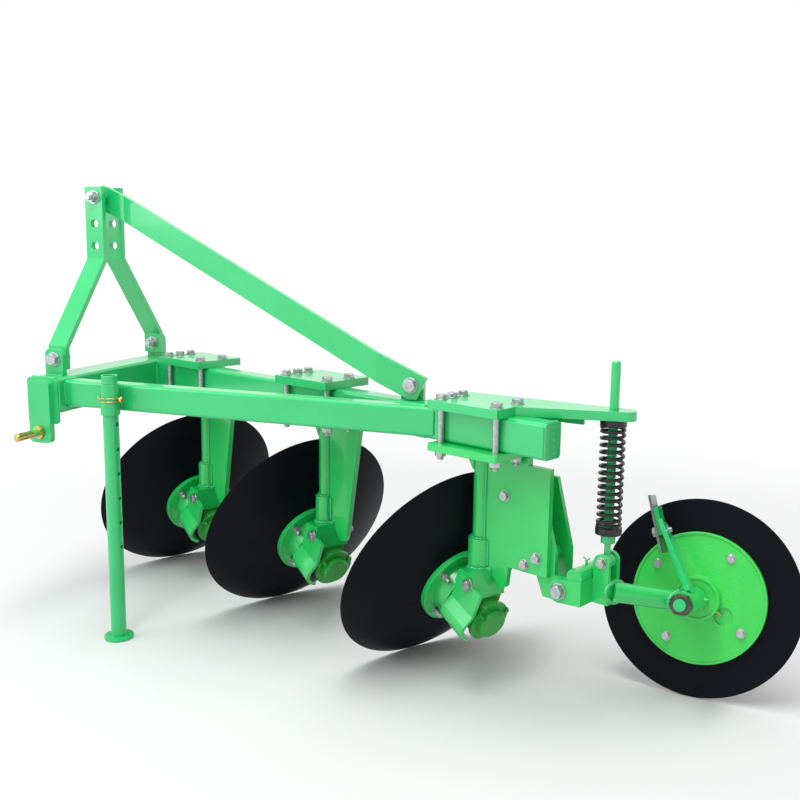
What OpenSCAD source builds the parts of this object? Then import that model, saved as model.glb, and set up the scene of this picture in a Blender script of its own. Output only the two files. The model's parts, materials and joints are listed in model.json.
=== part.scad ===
// Three-disc mounted plough with a sprung rear wheel and a parking stand.
// Millimetres. x is the way of travel, y is left, z is up, and the ground is z = 0.

/* [Frame] */
// Room between the discs' tops and the lower clamp plates
disc_room = 73.8; // [60:0.1:110]
// Main beam: angle to the line of travel, seen from above
beam_angle = 22.3; // [20:0.1:25]
// Main beam: width
beam_w = 62; // [56:1:70]
// Main beam: height
beam_h = 85; // [76:1:95]
// Main beam: length of its near face, to the capped end
beam_len = 1520; // [1490:5:1600]
// Main beam: near face at the crossbeam, from the left beam's outer face
beam_offset = 452; // [430:1:480]
// Wall of the three frame tubes
tube_wall = 6; // [4:0.5:8]
// Outer corner radius of the frame tubes
tube_corner = 9; // [8.5:0.5:12]
// Cap on the main beam's rear end
cap_t = 6; // [4:1:10]
// Left beam: width
left_w = 55; // [45:1:60]
// Left beam: height
left_h = 75; // [65:1:80]
// Crossbeam: side of its square section
cross_s = 100; // [90:1:110]
// Crossbeam: its middle below the beams' middle
cross_drop = 5; // [0:1:8]
// Crossbeam: its middle, from the left beam's outer face
cross_mid = 278; // [270:1:290]
// Crossbeam: length of the tube
cross_len = 604; // [590:2:640]

/* [Hitch] */
// End plate on each end of the crossbeam: thickness
end_plate_t = 8; // [6:1:12]
// End plate: how far it hangs below the crossbeam
end_plate_drop = 30; // [20:1:36]
// Pin plate: thickness
pin_plate_t = 18; // [14:1:22]
// Pin plate: width
pin_plate_w = 72; // [64:1:80]
// Hitch pin: diameter
pin_d = 22; // [20:0.5:25]
// Hitch pin: free length outside its plate
pin_len = 97; // [85:1:110]
// Hitch pin: its axis below the crossbeam
pin_drop = 52; // [50:1:60]
// Pin plate: metal below the pin's axis
pin_edge = 31; // [26:1:40]
// Collar at the pin's foot: diameter
pin_collar_d = 36; // [34:1:40]

/* [Mast] */
// Mast bars: width along the line of travel
mast_w = 61; // [54:1:70]
// Mast bars and lugs: thickness
mast_t = 16; // [12:1:18]
// Outer faces of the two mast bars at the crossbeam
mast_spread = 484; // [460:2:500]
// Gap between the two mast bars at the top
mast_gap = 72; // [64:1:80]
// Lug bolt above the crossbeam
lug_bolt_rise = 47; // [42:1:55]
// Lower bend of the bars above the crossbeam
mast_bend_low = 83; // [80:1:95]
// Upper bend of the bars above the crossbeam
mast_bend_high = 328; // [300:1:340]
// Lower top-link hole above the crossbeam
link_low = 366; // [364:1:374]
// Upper top-link hole above the crossbeam
link_high = 432; // [424:1:444]
// Strut bolt above the crossbeam
strut_bolt_rise = 509; // [500:1:520]
// Top-link holes: diameter
link_d = 25.5; // [22:0.5:28]
// Bolts of mast and strut: diameter
mast_bolt_d = 20; // [16:1:22]
// Strut: depth of the flat bar
strut_h = 70; // [60:1:76]
// Strut: thickness
strut_t = 16; // [12:1:18]
// Strut: lower bolt behind the crossbeam's rear face
strut_back = 1022; // [1000:2:1030]
// Strut: lower bolt above the main beam's top
strut_rise = 38; // [36:1:48]
// Strut: its lower end behind the main beam's near face, along y
strut_inset = 27; // [24:1:32]

/* [Clamps and legs] */
// First clamp behind the crossbeam, along the main beam
clamp_first = 170; // [160:1:190]
// Clamp pitch along the main beam
clamp_pitch = 568.5; // [555:0.5:572]
// Clamp plates: length along the beam
plate_l = 210; // [200:1:220]
// Clamp plates: thickness of the upper plate
plate_t = 22; // [18:1:25]
// Clamp plates: thickness of the lower plate
under_t = 18; // [14:1:22]
// Clamp plates: reach in front of the beam's near face
plate_near = 37; // [32:1:42]
// Clamp plates: reach behind the beam's far face
plate_far = 68; // [64:1:80]
// Clamp bolts: diameter
clamp_bolt_d = 16; // [14:1:18]
// Clamp bolts: half the spacing along the beam
clamp_bolt_x = 83; // [78:1:88]
// Disc leg pipe: diameter
pipe_d = 40; // [36:1:44]
// Disc leg pipe: its axis ahead of the clamp's middle
leg_fwd = 36; // [32:1:40]
// Disc leg pipe: its axis behind the beam's near face
leg_across = 96.5; // [94:0.5:104]
// Sleeve on the pipe's foot: diameter
sleeve_d = 61; // [56:1:62]
// Sleeve: length
sleeve_len = 76; // [60:1:90]
// Leg webs: thickness
web_t = 16; // [12:1:18]
// Leg webs: reach behind the pipe's axis at the clamp
web_top = 146; // [130:1:148]
// Leg webs: reach behind the pipe's axis at the foot
web_foot = 94; // [80:1:100]
// Leg 3: reach of its wide web, which carries the wheel bracket
web_wide = 207; // [200:1:215]

/* [Discs] */
// Disc: diameter over the rim
disc_d = 610; // [580:5:640]
// Disc: radius of its dish
dish_r = 600; // [590:5:660]
// Disc: thickness
disc_t = 6; // [5:0.5:8]
// Disc axle: turned from straight left towards the rear
disc_turn = 56; // [52:0.5:60]
// Disc axle: tilt, hub end down
disc_tilt = 23.9; // [18:0.1:26]
// Rim plane to the point where the axle crosses the leg's axis
hub_reach = 177; // [176:1:184]
// Hub flange: diameter
flange_d = 217; // [215:1:218]
// Hub flange: bolt circle
flange_pcd = 175; // [174.5:0.5:176]
// Hub flange: bolt diameter
flange_bolt_d = 12; // [10:1:14]
// Bearing housing: diameter
housing_d = 104; // [96:1:110]
// Bearing housing: length
housing_len = 84; // [78:1:88]
// Bearing journal: diameter
journal_d = 56; // [45:1:60]
// Saddle plate round the housing: thickness
saddle_t = 10; // [8:1:12]

/* [Rear wheel] */
// Wheel: diameter of the flat disc
wheel_d = 500; // [480:5:520]
// Wheel: thickness of the flat disc
wheel_t = 8; // [6:1:10]
// Wheel: its middle behind the crossbeam's rear face
wheel_back = 1739; // [1735:1:1780]
// Wheel: its middle right of the left beam's outer face
wheel_right = 258; // [250:1:275]
// Wheel axle: turned from straight left towards the front
wheel_turn = 8.5; // [2:0.5:12]
// Wheel axle: tilt, outer end up
wheel_tilt = 13.5; // [5:0.5:15]
// Hub plate: diameter
hub_plate_d = 332; // [310:2:340]
// Hub plate: thickness
hub_plate_t = 12; // [10:1:14]
// Wheel bolts: circle
wheel_pcd = 260; // [240:2:280]
// Hub boss: diameter
boss_d = 112; // [100:2:120]
// Axle: diameter
axle_d = 40; // [35:1:42]
// Arm's axle sleeve: diameter
arm_sleeve_d = 60; // [56:1:66]
// Arm's axle sleeve: length
arm_sleeve_len = 150; // [140:1:158]
// Arm tube: diameter
arm_d = 48; // [42:1:50]
// Clearance between a turning piece and what it passes
turn_gap = 6; // [5.5:0.5:10]

/* [Spring] */
// Spring rod: its axis behind clamp 3's middle, along the main beam
rod_back = 285; // [280:1:295]
// Spring rod: its axis behind the main beam's near face
rod_across = 168; // [164:1:172]
// Spring rod: diameter
rod_d = 22; // [18:1:24]
// Spring rod: top above the clamp plate
rod_top = 113; // [90:1:130]
// Spring: outer diameter
spring_d = 61; // [56:1:66]
// Spring: wire
spring_wire = 8.5; // [7:0.5:10]
// Spring: turns
spring_turns = 15; // [12:1:16]
// Spring: length between its seats
spring_len = 240; // [225:1:245]
// Spring seats: height
seat_h = 16; // [12:1:19]
// Clevis bolt below the beams' middle
eye_drop = 297; // [294:1:310]
// Yoke pivot below the beams' middle
pivot_drop = 373; // [368:1:380]
// Yoke pivot behind clamp 3's middle
pivot_back = 203; // [200:1:208]
// Plates of bracket and yoke
bracket_t = 12; // [10:1:14]

/* [Stand] */
// Stand tube: diameter
stand_d = 43; // [38:1:48]
// Stand tube: wall
stand_wall = 4; // [3:0.5:6]
// Stand: behind the crossbeam's rear face
stand_back = 175; // [150:1:190]
// Stand sleeve: wall
stand_sleeve_wall = 4.5; // [4:0.5:6]
// Stand sleeve: length
stand_sleeve_len = 86; // [76:1:100]
// Stand foot: diameter
foot_d = 82; // [74:1:90]
// Lock pin: diameter
lock_d = 10; // [8:1:12]
// Spacing of the lock holes
hole_pitch = 70; // [60:1:70]

/* [Fits] */
// Bolt in its hole, all round
hole_clear = 0.5; // [0.3:0.1:1]
// Shaft turning in its bearing, all round
run_clear = 0.08; // [0.05:0.01:0.1]
// Tube sliding in its sleeve, all round
slide_clear = 0.5; // [0.3:0.1:0.8]

/* [Hidden] */
$fn = 64;
green = [0.16, 0.66, 0.32];
black = [0.07, 0.07, 0.09];
zinc = [0.78, 0.79, 0.80];
gold = [0.80, 0.66, 0.28];
steel = [0.45, 0.46, 0.48];

ca = cos(beam_angle);
sa = sin(beam_angle);
beam_top = beam_h / 2;
// the beams' middle above the ground
frame_height = disc_d * cos(disc_tilt) + disc_room + under_t + beam_top;
cross_top = cross_s / 2 - cross_drop;
cross_low = -cross_s / 2 - cross_drop;
mast_x = cross_s / 2;
plate_far_y = -beam_w - plate_far;
under_z = -beam_top - under_t;
pin_z = cross_low - pin_drop;
pin_out = cross_len / 2 + end_plate_t + pin_plate_t;
bolt_near = clamp_bolt_d / 2 + 2;
bolt_far = -beam_w - clamp_bolt_d / 2 - 2;

// a point given along and across the main beam, as x and y of the frame
function on_beam(al, ac) = [al * ca + ac * sa, -beam_offset - al * sa + ac * ca];
function clamp_al(i) = -clamp_first - (i - 1) * clamp_pitch;
function pipe_at(i) = on_beam(clamp_al(i) + leg_fwd, -leg_across);

// discs touch the ground with the lowest point of the rim
disc_z = -frame_height + disc_d / 2 * cos(disc_tilt);
hub_z = disc_z - hub_reach * sin(disc_tilt);
dish_depth = dish_r - sqrt(dish_r * dish_r - disc_d * disc_d / 4);
dish_mid = dish_depth - dish_r;
// metal of the hub over the dish's crown
flange_t = 3;
journal_len = 44;
flange_back = dish_depth + flange_t;
lip_h = 2;
bolt_out = 28;
neck_r = 75;
neck_end = flange_back + 38;
housing_start = neck_end + turn_gap;
housing_end = housing_start + housing_len;
pad_v = housing_d / 2 + 10;
saddle_r = housing_d / 2 + 2;
head_half = 45;
head_top = hub_z + pad_v / cos(disc_tilt) + 48;
cap_end = housing_end + 28;
ring_t = 9;
ring_d = housing_d + 11;

// rear wheel on the ground
wheel_z = -frame_height + wheel_d / 2 * cos(wheel_tilt) + wheel_t / 2 * sin(wheel_tilt);
wheel_face = wheel_t / 2 + hub_plate_t;
boss_face = wheel_face + 28;
sleeve_start = boss_face + turn_gap + 8;
sleeve_end = sleeve_start + arm_sleeve_len;
wheel_dir = [sin(wheel_turn) * cos(wheel_tilt), cos(wheel_turn) * cos(wheel_tilt), sin(wheel_tilt)];
wheel_mid = [-wheel_back, -wheel_right, wheel_z];
arm_foot = wheel_mid + (sleeve_end - arm_d / 2 - 30) * wheel_dir;
axle_nut = 46;

// bracket, yoke and clevis, measured along the beam from clamp 3
rod_al = clamp_al(3) - rod_back;
rod_xy = on_beam(rod_al, -rod_across);
web_far = -leg_across - web_t / 2;
lug_near = web_far;
lug_far = lug_near - bracket_t;
ear_gap = 0.5;
ear_near = lug_near + ear_gap + bracket_t;
wing_near = lug_far - 54;
wing_far = wing_near - bracket_t;
ear_far = wing_far - ear_gap - bracket_t;
pivot_al = clamp_al(3) - pivot_back;
clevis_t = 10;
clevis_gap = 30;
block_half = clevis_gap / 2 + clevis_t;
block_l = 42;
yoke_end = rod_al + block_l / 2;
yoke_h = 58;
yoke_top = -pivot_drop + 34;
yoke_low = yoke_top - yoke_h;

// spring stack below clamp plate 3
spring_top = beam_top - seat_h;
spring_low = spring_top - spring_len;
collar_low = spring_low - seat_h - 22;

// stand
stand_r = stand_d / 2;
sleeve_r = stand_r + slide_clear + stand_sleeve_wall;
stand_y = sleeve_r + 3;
foot_t = 8;

// middle of the whole on the ground
front_x = pipe_at(1)[0] + hub_reach * sin(disc_turn) * cos(disc_tilt)
  + disc_d / 2 * sqrt(1 - pow(sin(disc_turn) * cos(disc_tilt), 2));
right_y = pipe_at(1)[1] - hub_reach * cos(disc_turn) * cos(disc_tilt)
  - disc_d / 2 * sqrt(1 - pow(cos(disc_turn) * cos(disc_tilt), 2));
mid_x = (front_x - wheel_back - wheel_d / 2) / 2;
mid_y = (pin_out - cross_mid + pin_len + right_y) / 2;

module place() { translate([-mid_x, -mid_y, frame_height]) children(); }
module along_beam() { translate([0, -beam_offset, 0]) rotate([0, 0, -beam_angle]) children(); }
module at_clamp(i) { along_beam() translate([clamp_al(i), 0, 0]) children(); }
module at_pipe(i) { translate([pipe_at(i)[0], pipe_at(i)[1], 0]) children(); }
module at_hub(i) { at_pipe(i) translate([0, 0, hub_z]) rotate([90 + disc_tilt, 0, 180 + disc_turn]) children(); }
module at_disc(i) { at_hub(i) translate([0, 0, -hub_reach]) children(); }
module at_wheel() { translate(wheel_mid) rotate([90 - wheel_tilt, 0, 180 - wheel_turn]) children(); }
// a rounded rectangle from exact arcs
module round_rect(w, h, r) {
  square([w - 2 * r, h], center = true);
  square([w, h - 2 * r], center = true);
  for (sx = [-1, 1], sy = [-1, 1]) translate([sx * (w / 2 - r), sy * (h / 2 - r)]) circle(r);
}
// a square or oblong tube along x, from x = 0
module box_tube(l, w, h, wall) {
  rotate([90, 0, 90]) linear_extrude(l) difference() {
    round_rect(w, h, tube_corner);
    round_rect(w - 2 * wall, h - 2 * wall, tube_corner - wall > 1 ? tube_corner - wall : 1);
  }
}
module hex(af, h) { cylinder(d = af / cos(30), h = h, $fn = 6); }
// bolt along z: head below z = 0, shank up to len, nut from nut_at
module bolt(d, len, nut_at) {
  translate([0, 0, -0.65 * d]) hex(1.5 * d, 0.65 * d);
  cylinder(d = d, h = len);
  translate([0, 0, nut_at]) hex(1.5 * d, 0.8 * d);
}

module crossbeam() {
  color(green) place() translate([cross_s / 2, -cross_mid - cross_len / 2, -cross_drop])
    rotate([0, 0, 90]) box_tube(cross_len, cross_s, cross_s, tube_wall);
}
module main_beam() {
  color(green) place() difference() {
    along_beam() translate([-beam_len + cap_t, -beam_w / 2, 0])
      box_tube(beam_len + beam_w, beam_w, beam_h, tube_wall);
    translate([0, -cross_mid - cross_len, -cross_s]) cube([cross_s * 3, 2 * cross_len, 2 * cross_s]);
  }
}
module left_beam() {
  color(green) place() difference() {
    translate([-beam_len, -left_w / 2, 0]) box_tube(beam_len, left_w, left_h, tube_wall);
    along_beam() translate([-2 * beam_len, -2 * beam_len, -beam_h]) cube([4 * beam_len, 2 * beam_len, 2 * beam_h]);
  }
}
module beam_cap() {
  color(green) place() along_beam() translate([-beam_len, -beam_w / 2, 0])
    rotate([90, 0, 90]) linear_extrude(cap_t) round_rect(beam_w, beam_h, tube_corner);
}
module hitch_side() {
  // thin plate closing the tube, then the thick plate that carries the pin
  h = cross_s + end_plate_drop;
  translate([cross_s / 2 + 2, cross_len / 2, cross_top - h / 2])
    rotate([-90, 0, 0]) linear_extrude(end_plate_t) round_rect(cross_s + 4, h, 10);
  top = cross_top - 6;
  low = pin_z - pin_edge;
  translate([0, cross_len / 2 + end_plate_t, 0]) difference() {
    translate([mast_x + 1, 0, (top + low) / 2]) rotate([-90, 0, 0])
      linear_extrude(pin_plate_t) round_rect(pin_plate_w, top - low, 14);
    translate([mast_x + 1, -1, pin_z]) rotate([-90, 0, 0])
      cylinder(d = pin_d + 2 * hole_clear, h = pin_plate_t + 2);
  }
}
module hitch_plates() {
  color(green) place() translate([0, -cross_mid, 0]) {
    hitch_side();
    mirror([0, 1, 0]) hitch_side();
  }
}
module hitch_pin() {
  translate([mast_x + 1, pin_out, pin_z]) rotate([-90, 0, 0]) difference() {
    union() {
      translate([0, 0, -pin_plate_t - 18]) cylinder(d = pin_d, h = pin_plate_t + 18 + pin_len - 4);
      translate([0, 0, pin_len - 4]) cylinder(d1 = pin_d, d2 = pin_d - 8, h = 4);
      cylinder(d = pin_collar_d, h = 10);
      translate([0, 0, -pin_plate_t - 14]) hex(32, 14);
    }
    translate([0, 0, pin_len - 18]) rotate([90, 0, 0]) cylinder(d = 11, h = 2 * pin_d, center = true);
  }
}
module hitch_pin_left() { color(gold) place() translate([0, -cross_mid, 0]) hitch_pin(); }
module hitch_pin_right() { color(gold) place() translate([0, -cross_mid, 0]) mirror([0, 1, 0]) hitch_pin(); }

// mast bars: bent profile in the y-z plane, outer face first
lug_y = mast_spread / 2;
top_y = mast_gap / 2 + mast_t;
bend_turn = atan2(lug_y - top_y, mast_bend_high - mast_bend_low);
bend_in = mast_t * tan(bend_turn / 2);
bar_low = lug_bolt_rise - mast_w / 2;
bar_high = strut_bolt_rise + mast_w / 2;
module bar_outline() {
  translate([mast_x - mast_w / 2, cross_top + bar_low]) square([mast_w, bar_high - bar_low]);
}
module mast_bar() {
  difference() {
    intersection() {
      translate([mast_x - mast_w, 0, cross_top]) rotate([90, 0, 90]) linear_extrude(2 * mast_w) polygon([
        [lug_y, bar_low], [lug_y, mast_bend_low], [top_y, mast_bend_high], [top_y, bar_high],
        [top_y - mast_t, bar_high], [top_y - mast_t, mast_bend_high - bend_in],
        [lug_y - mast_t, mast_bend_low - bend_in], [lug_y - mast_t, bar_low]
      ]);
      translate([0, mast_spread, 0]) rotate([90, 0, 0]) linear_extrude(mast_spread) bar_outline();
    }
    for (z = [link_low, link_high]) translate([mast_x, 0, cross_top + z])
      rotate([-90, 0, 0]) cylinder(d = link_d, h = mast_spread);
    for (z = [lug_bolt_rise, strut_bolt_rise]) translate([mast_x, 0, cross_top + z])
      rotate([-90, 0, 0]) cylinder(d = mast_bolt_d + 2 * hole_clear, h = mast_spread);
  }
}
module mast_bar_left() { color(green) place() translate([0, -cross_mid, 0]) mast_bar(); }
module mast_bar_right() { color(green) place() translate([0, -cross_mid, 0]) mirror([0, 1, 0]) mast_bar(); }
module mast_lug() {
  translate([mast_x, lug_y + mast_t, cross_top]) rotate([90, 0, 0]) linear_extrude(mast_t) difference() {
    union() {
      translate([-mast_w / 2, 0]) square([mast_w, lug_bolt_rise]);
      translate([-mast_w / 2 + 18, 0]) square([mast_w - 36, lug_bolt_rise + 30]);
      translate([-mast_w / 2, 0]) square([mast_w, lug_bolt_rise + 12]);
      for (s = [-1, 1]) translate([s * (mast_w / 2 - 18), lug_bolt_rise + 12]) circle(18);
    }
    translate([0, lug_bolt_rise]) circle(d = mast_bolt_d + 2 * hole_clear);
  }
}
module mast_lugs() {
  color(green) place() translate([0, -cross_mid, 0]) {
    mast_lug();
    mirror([0, 1, 0]) mast_lug();
  }
}
module lug_bolt() {
  translate([mast_x, lug_y + mast_t, cross_top + lug_bolt_rise]) rotate([90, 0, 0])
    bolt(mast_bolt_d, 2 * mast_t + 24, 2 * mast_t);
}
module mast_bolts() {
  color(zinc) place() {
    translate([0, -cross_mid, 0]) {
      lug_bolt();
      mirror([0, 1, 0]) lug_bolt();
      translate([mast_x, -top_y, cross_top + strut_bolt_rise]) rotate([-90, 0, 0])
        bolt(mast_bolt_d, 2 * top_y + 24, 2 * top_y);
    }
    translate([-strut_back, strut_end_y + strut_t / 2, beam_top + strut_rise]) rotate([90, 0, 0])
      bolt(mast_bolt_d, strut_t + lug_t + 24, strut_t + lug_t);
  }
}
module mast_spacers() {
  // tubes on the top bolt that keep the strut between the bars
  l = (mast_gap - strut_t) / 2;
  z = cross_top + strut_bolt_rise;
  color(green) place() for (s = [-1, 1]) translate([mast_x, -cross_mid + s * (strut_t + l) / 2, z])
    rotate([90, 0, 0]) difference() {
      cylinder(d = mast_bolt_d + 14, h = l, center = true);
      cylinder(d = mast_bolt_d + 2 * hole_clear, h = l + 2, center = true);
    }
}

// strut: its plan follows two bends, its side view is one straight band
lug_t = 16;
strut_end_y = -beam_offset + strut_back * sa / ca - strut_inset;
strut_bend_1 = 26;
strut_bend_2 = strut_back - 92;
module strut_band(w) {
  // three legs of constant thickness, mitred at the bends
  y0 = -cross_mid;
  y1 = strut_end_y;
  turn = atan2(y1 - y0, strut_bend_2 - strut_bend_1);
  k = w / 2 * tan(turn / 2);
  polygon([
    [mast_x + mast_w, y0 + w / 2], [-strut_bend_1 + k, y0 + w / 2],
    [-strut_bend_2 + k, y1 + w / 2], [-strut_back - strut_h, y1 + w / 2],
    [-strut_back - strut_h, y1 - w / 2], [-strut_bend_2 - k, y1 - w / 2],
    [-strut_bend_1 - k, y0 - w / 2], [mast_x + mast_w, y0 - w / 2]
  ]);
}
module strut() {
  dx = mast_x + strut_back;
  z1 = cross_top + strut_bolt_rise;
  z0 = beam_top + strut_rise;
  slope = atan2(z1 - z0, dx);
  l = sqrt(dx * dx + (z1 - z0) * (z1 - z0));
  color(green) place() difference() {
    intersection() {
      translate([0, 0, -cross_s]) linear_extrude(2 * strut_bolt_rise) strut_band(strut_t);
      translate([mast_x, beam_len, z1]) rotate([90, 0, 0]) linear_extrude(2 * beam_len) rotate(180 + slope) {
        translate([0, -strut_h / 2]) square([l + 30, strut_h]);
        circle(d = strut_h);
      }
    }
    for (q = [[mast_x, z1], [-strut_back, z0]]) translate([q[0], 0, q[1]]) rotate([90, 0, 0])
      cylinder(d = mast_bolt_d + 2 * hole_clear, h = 2 * beam_len, center = true);
    translate([-2 * beam_len, -beam_len, beam_top + 2 - beam_len]) cube([2 * beam_len, 2 * beam_len, beam_len]);
  }
}
module strut_lug() {
  color(green) place() translate([-strut_back, strut_end_y - strut_t / 2, beam_top]) rotate([90, 0, 0])
    linear_extrude(lug_t) difference() {
      union() {
        translate([-30, 0]) square([60, strut_rise]);
        translate([0, strut_rise]) circle(30);
      }
      translate([0, strut_rise]) circle(d = mast_bolt_d + 2 * hole_clear);
    }
}

module bolt_holes(d) {
  for (x = [-1, 1], y = [bolt_near, bolt_far]) translate([x * clamp_bolt_x, y]) circle(d = d);
}
module clamp_outline() {
  translate([0, (plate_near + plate_far_y) / 2]) round_rect(plate_l, plate_near - plate_far_y, 6);
}
module clamp_plate(i) {
  color(green) place() {
    translate([0, 0, beam_top]) linear_extrude(plate_t) difference() {
      if (i == 3) tongue_outline();
      else at_clamp(i) clamp_outline();
      at_clamp(i) {
        bolt_holes(clamp_bolt_d + 2 * hole_clear);
        translate([clamp_bolt_x, -beam_w / 2]) circle(d = clamp_bolt_d + 2 * hole_clear);
      }
      if (i == 3) translate([rod_xy[0], rod_xy[1]]) circle(d = rod_d + 2 * slide_clear);
    }
    // stiffening rib under the tongue's far edge
    if (i == 3) translate([tongue_far[0], tongue_far[1], beam_top - tongue_rib])
      rotate(atan2(tongue_end[1] - tongue_r - tongue_far[1], tongue_end[0] - tongue_far[0]))
        translate([184, -10, 0]) cube([126, 8, tongue_rib + 1]);
  }
}
// plate 3 runs on into a tongue that the spring works against
tongue_r = 26;
tongue_rib = 26;
tongue_far = on_beam(clamp_al(3) + plate_l / 2, plate_far_y);
tongue_end = rod_xy - [tongue_r, 0];
module tongue_outline() {
  rear = clamp_al(3) - plate_l / 2;
  polygon(concat(
    [on_beam(clamp_al(3) + plate_l / 2, plate_near), on_beam(rear, plate_near), on_beam(rear, plate_near - 70)],
    [for (k = [0:16]) tongue_end + tongue_r * [cos(100 + 10 * k), sin(100 + 10 * k)]],
    [tongue_far]
  ));
}
module clamp_plate_1() { clamp_plate(1); }
module clamp_plate_2() { clamp_plate(2); }
module clamp_plate_3() { clamp_plate(3); }
module clamp_bolts(i) {
  grip = plate_t + beam_h + under_t;
  color(zinc) place() at_clamp(i) translate([0, 0, beam_top + plate_t]) rotate([180, 0, 0]) {
    for (x = [-1, 1], y = [bolt_near, bolt_far]) translate([x * clamp_bolt_x, -y, 0])
      bolt(clamp_bolt_d, grip + 20, grip);
    // set screw down to the beam's top
    translate([clamp_bolt_x, beam_w / 2, 0]) {
      translate([0, 0, -10]) hex(1.5 * clamp_bolt_d, 10);
      cylinder(d = clamp_bolt_d, h = plate_t);
    }
  }
  // the bolt across the leg's head block
  color(zinc) place() at_head(i) translate([0, 0, -saddle_r - saddle_t])
    bolt(head_bolt_d, saddle_r + saddle_t + head_half + 22, saddle_r + saddle_t + head_half);
}
module clamp_bolts_1() { clamp_bolts(1); }
module clamp_bolts_2() { clamp_bolts(2); }
module clamp_bolts_3() { clamp_bolts(3); }

// side view of the leg's web, x behind the pipe is negative
module web_shape(wide) {
  foot = head_top - 46;
  if (wide) polygon([
    [0, under_z], [-web_top, under_z], [-web_top, under_z - 24], [-web_wide, under_z - 24],
    [-web_wide, head_top + 20], [-web_foot, head_top + 20], [-web_foot + 6, foot + 14],
    [-web_foot + 26, foot], [-sleeve_d / 2, head_top + 8], [0, head_top + 8]
  ]);
  else polygon([
    [0, under_z], [-web_top, under_z], [-web_foot, foot + 18], [-web_foot + 8, foot + 2],
    [-web_foot + 26, foot], [-sleeve_d / 2, head_top + 8], [0, head_top + 8]
  ]);
  // front gusset
  polygon([[0, under_z], [52, under_z], [52, under_z - 10], [24, under_z - 60], [0, under_z - 60]]);
}
// saddle plate seen along the axle: cheek, bend outwards, belly round the housing and lip
saddle_bend = 26;
saddle_from = 149;
saddle_to = 240;
saddle_lip = 14;
saddle_mid = [6.2 - saddle_r, -17];
saddle_end = [cos(saddle_to), sin(saddle_to)];
saddle_run = [-sin(saddle_to), cos(saddle_to)];
function saddle_line(r, x) = concat(
  [[x, pad_v + 34],
   [x, saddle_mid[1] + r * sin(saddle_from) - (x - saddle_mid[0] - r * cos(saddle_from)) / tan(saddle_from)]],
  [for (k = [0:13]) let (a = saddle_from + (saddle_to - saddle_from) * k / 13) saddle_mid + r * [cos(a), sin(a)]]
);
module saddle_shape() {
  near = saddle_line(saddle_bend, -saddle_r);
  far = saddle_line(saddle_bend + saddle_t, -saddle_r - saddle_t);
  tip = saddle_mid + (saddle_bend + saddle_t / 2) * saddle_end + saddle_lip * saddle_run;
  polygon(concat(
    near,
    [for (k = [0:8]) tip + saddle_t / 2 * (sin(22.5 * k) * saddle_run - cos(22.5 * k) * saddle_end)],
    [for (k = [len(far) - 1:-1:0]) far[k]]
  ));
}
module leg(i) {
  color(green) place() difference() {
    union() {
      at_clamp(i) translate([0, 0, under_z]) linear_extrude(under_t) clamp_outline();
      at_pipe(i) {
        translate([0, 0, head_top]) cylinder(d = pipe_d, h = under_z - head_top);
        translate([0, 0, head_top]) cylinder(d = sleeve_d, h = sleeve_len);
        rotate([0, 0, -beam_angle]) translate([0, web_t / 2, 0]) rotate([90, 0, 0])
          linear_extrude(web_t) web_shape(i == 3);
        // head block over the housing, square to the disc's axle in plan
        difference() {
          rotate([0, 0, 180 + disc_turn]) translate([-saddle_r - saddle_t / 2, -head_half, hub_z])
            cube([saddle_r + saddle_t / 2 + head_half, 2 * head_half, head_top - hub_z]);
          translate([0, 0, hub_z]) rotate([90 + disc_tilt, 0, 180 + disc_turn]) {
            translate([-300, pad_v - 600, -300]) cube(600);
            translate([-300, -300, flange_back + bolt_out + turn_gap - hub_reach - 600]) cube(600);
            translate([0, 0, -hub_reach]) cylinder(r = neck_r + turn_gap, h = housing_start);
          }
        }
      }
      difference() {
        at_hub(i) translate([0, 0, housing_start - hub_reach]) linear_extrude(housing_len + 6) saddle_shape();
        at_pipe(i) translate([-300, -300, head_top]) cube(600);
      }
    }
    at_clamp(i) translate([0, 0, under_z - 1]) linear_extrude(under_t + 2)
      bolt_holes(clamp_bolt_d + 2 * hole_clear);
    at_head(i) cylinder(d = head_bolt_d + 2 * hole_clear, h = 2 * saddle_r + 2 * head_half, center = true);
    if (i == 3) bracket_holes(bracket_bolt_d + 2 * hole_clear);
    // room for the hub's nuts as they go round
    at_disc(i) cylinder(r = flange_pcd / 2 + 0.95 * flange_bolt_d + turn_gap, h = flange_back + bolt_out + turn_gap);
  }
}
// clamp bolt across the head block
head_bolt_d = 16;
module at_head(i) {
  at_disc(i) translate([0, pad_v + 32, hub_reach - 5]) rotate([0, 90, 0]) children();
}
module leg_1() { leg(1); }
module leg_2() { leg(2); }
module leg_3() { leg(3); }
module hub_housing(i) {
  color(green) place() at_disc(i) difference() {
    union() {
      translate([0, 0, housing_start]) cylinder(d = housing_d, h = housing_len);
      translate([0, 0, housing_end]) cylinder(d = ring_d, h = ring_t);
      translate([0, 0, housing_end + ring_t]) cylinder(d = 78, h = cap_end - housing_end - ring_t - 4);
      translate([0, 0, cap_end - 4]) cylinder(d1 = 78, d2 = 70, h = 4);
      translate([-36, 0, housing_start + 14]) cube([72, pad_v, housing_len - 30]);
    }
    translate([0, 0, housing_start - 1]) cylinder(d = journal_d + 2 * run_clear, h = journal_len);
  }
}
module hub_housing_1() { hub_housing(1); }
module hub_housing_2() { hub_housing(2); }
module hub_housing_3() { hub_housing(3); }
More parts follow.
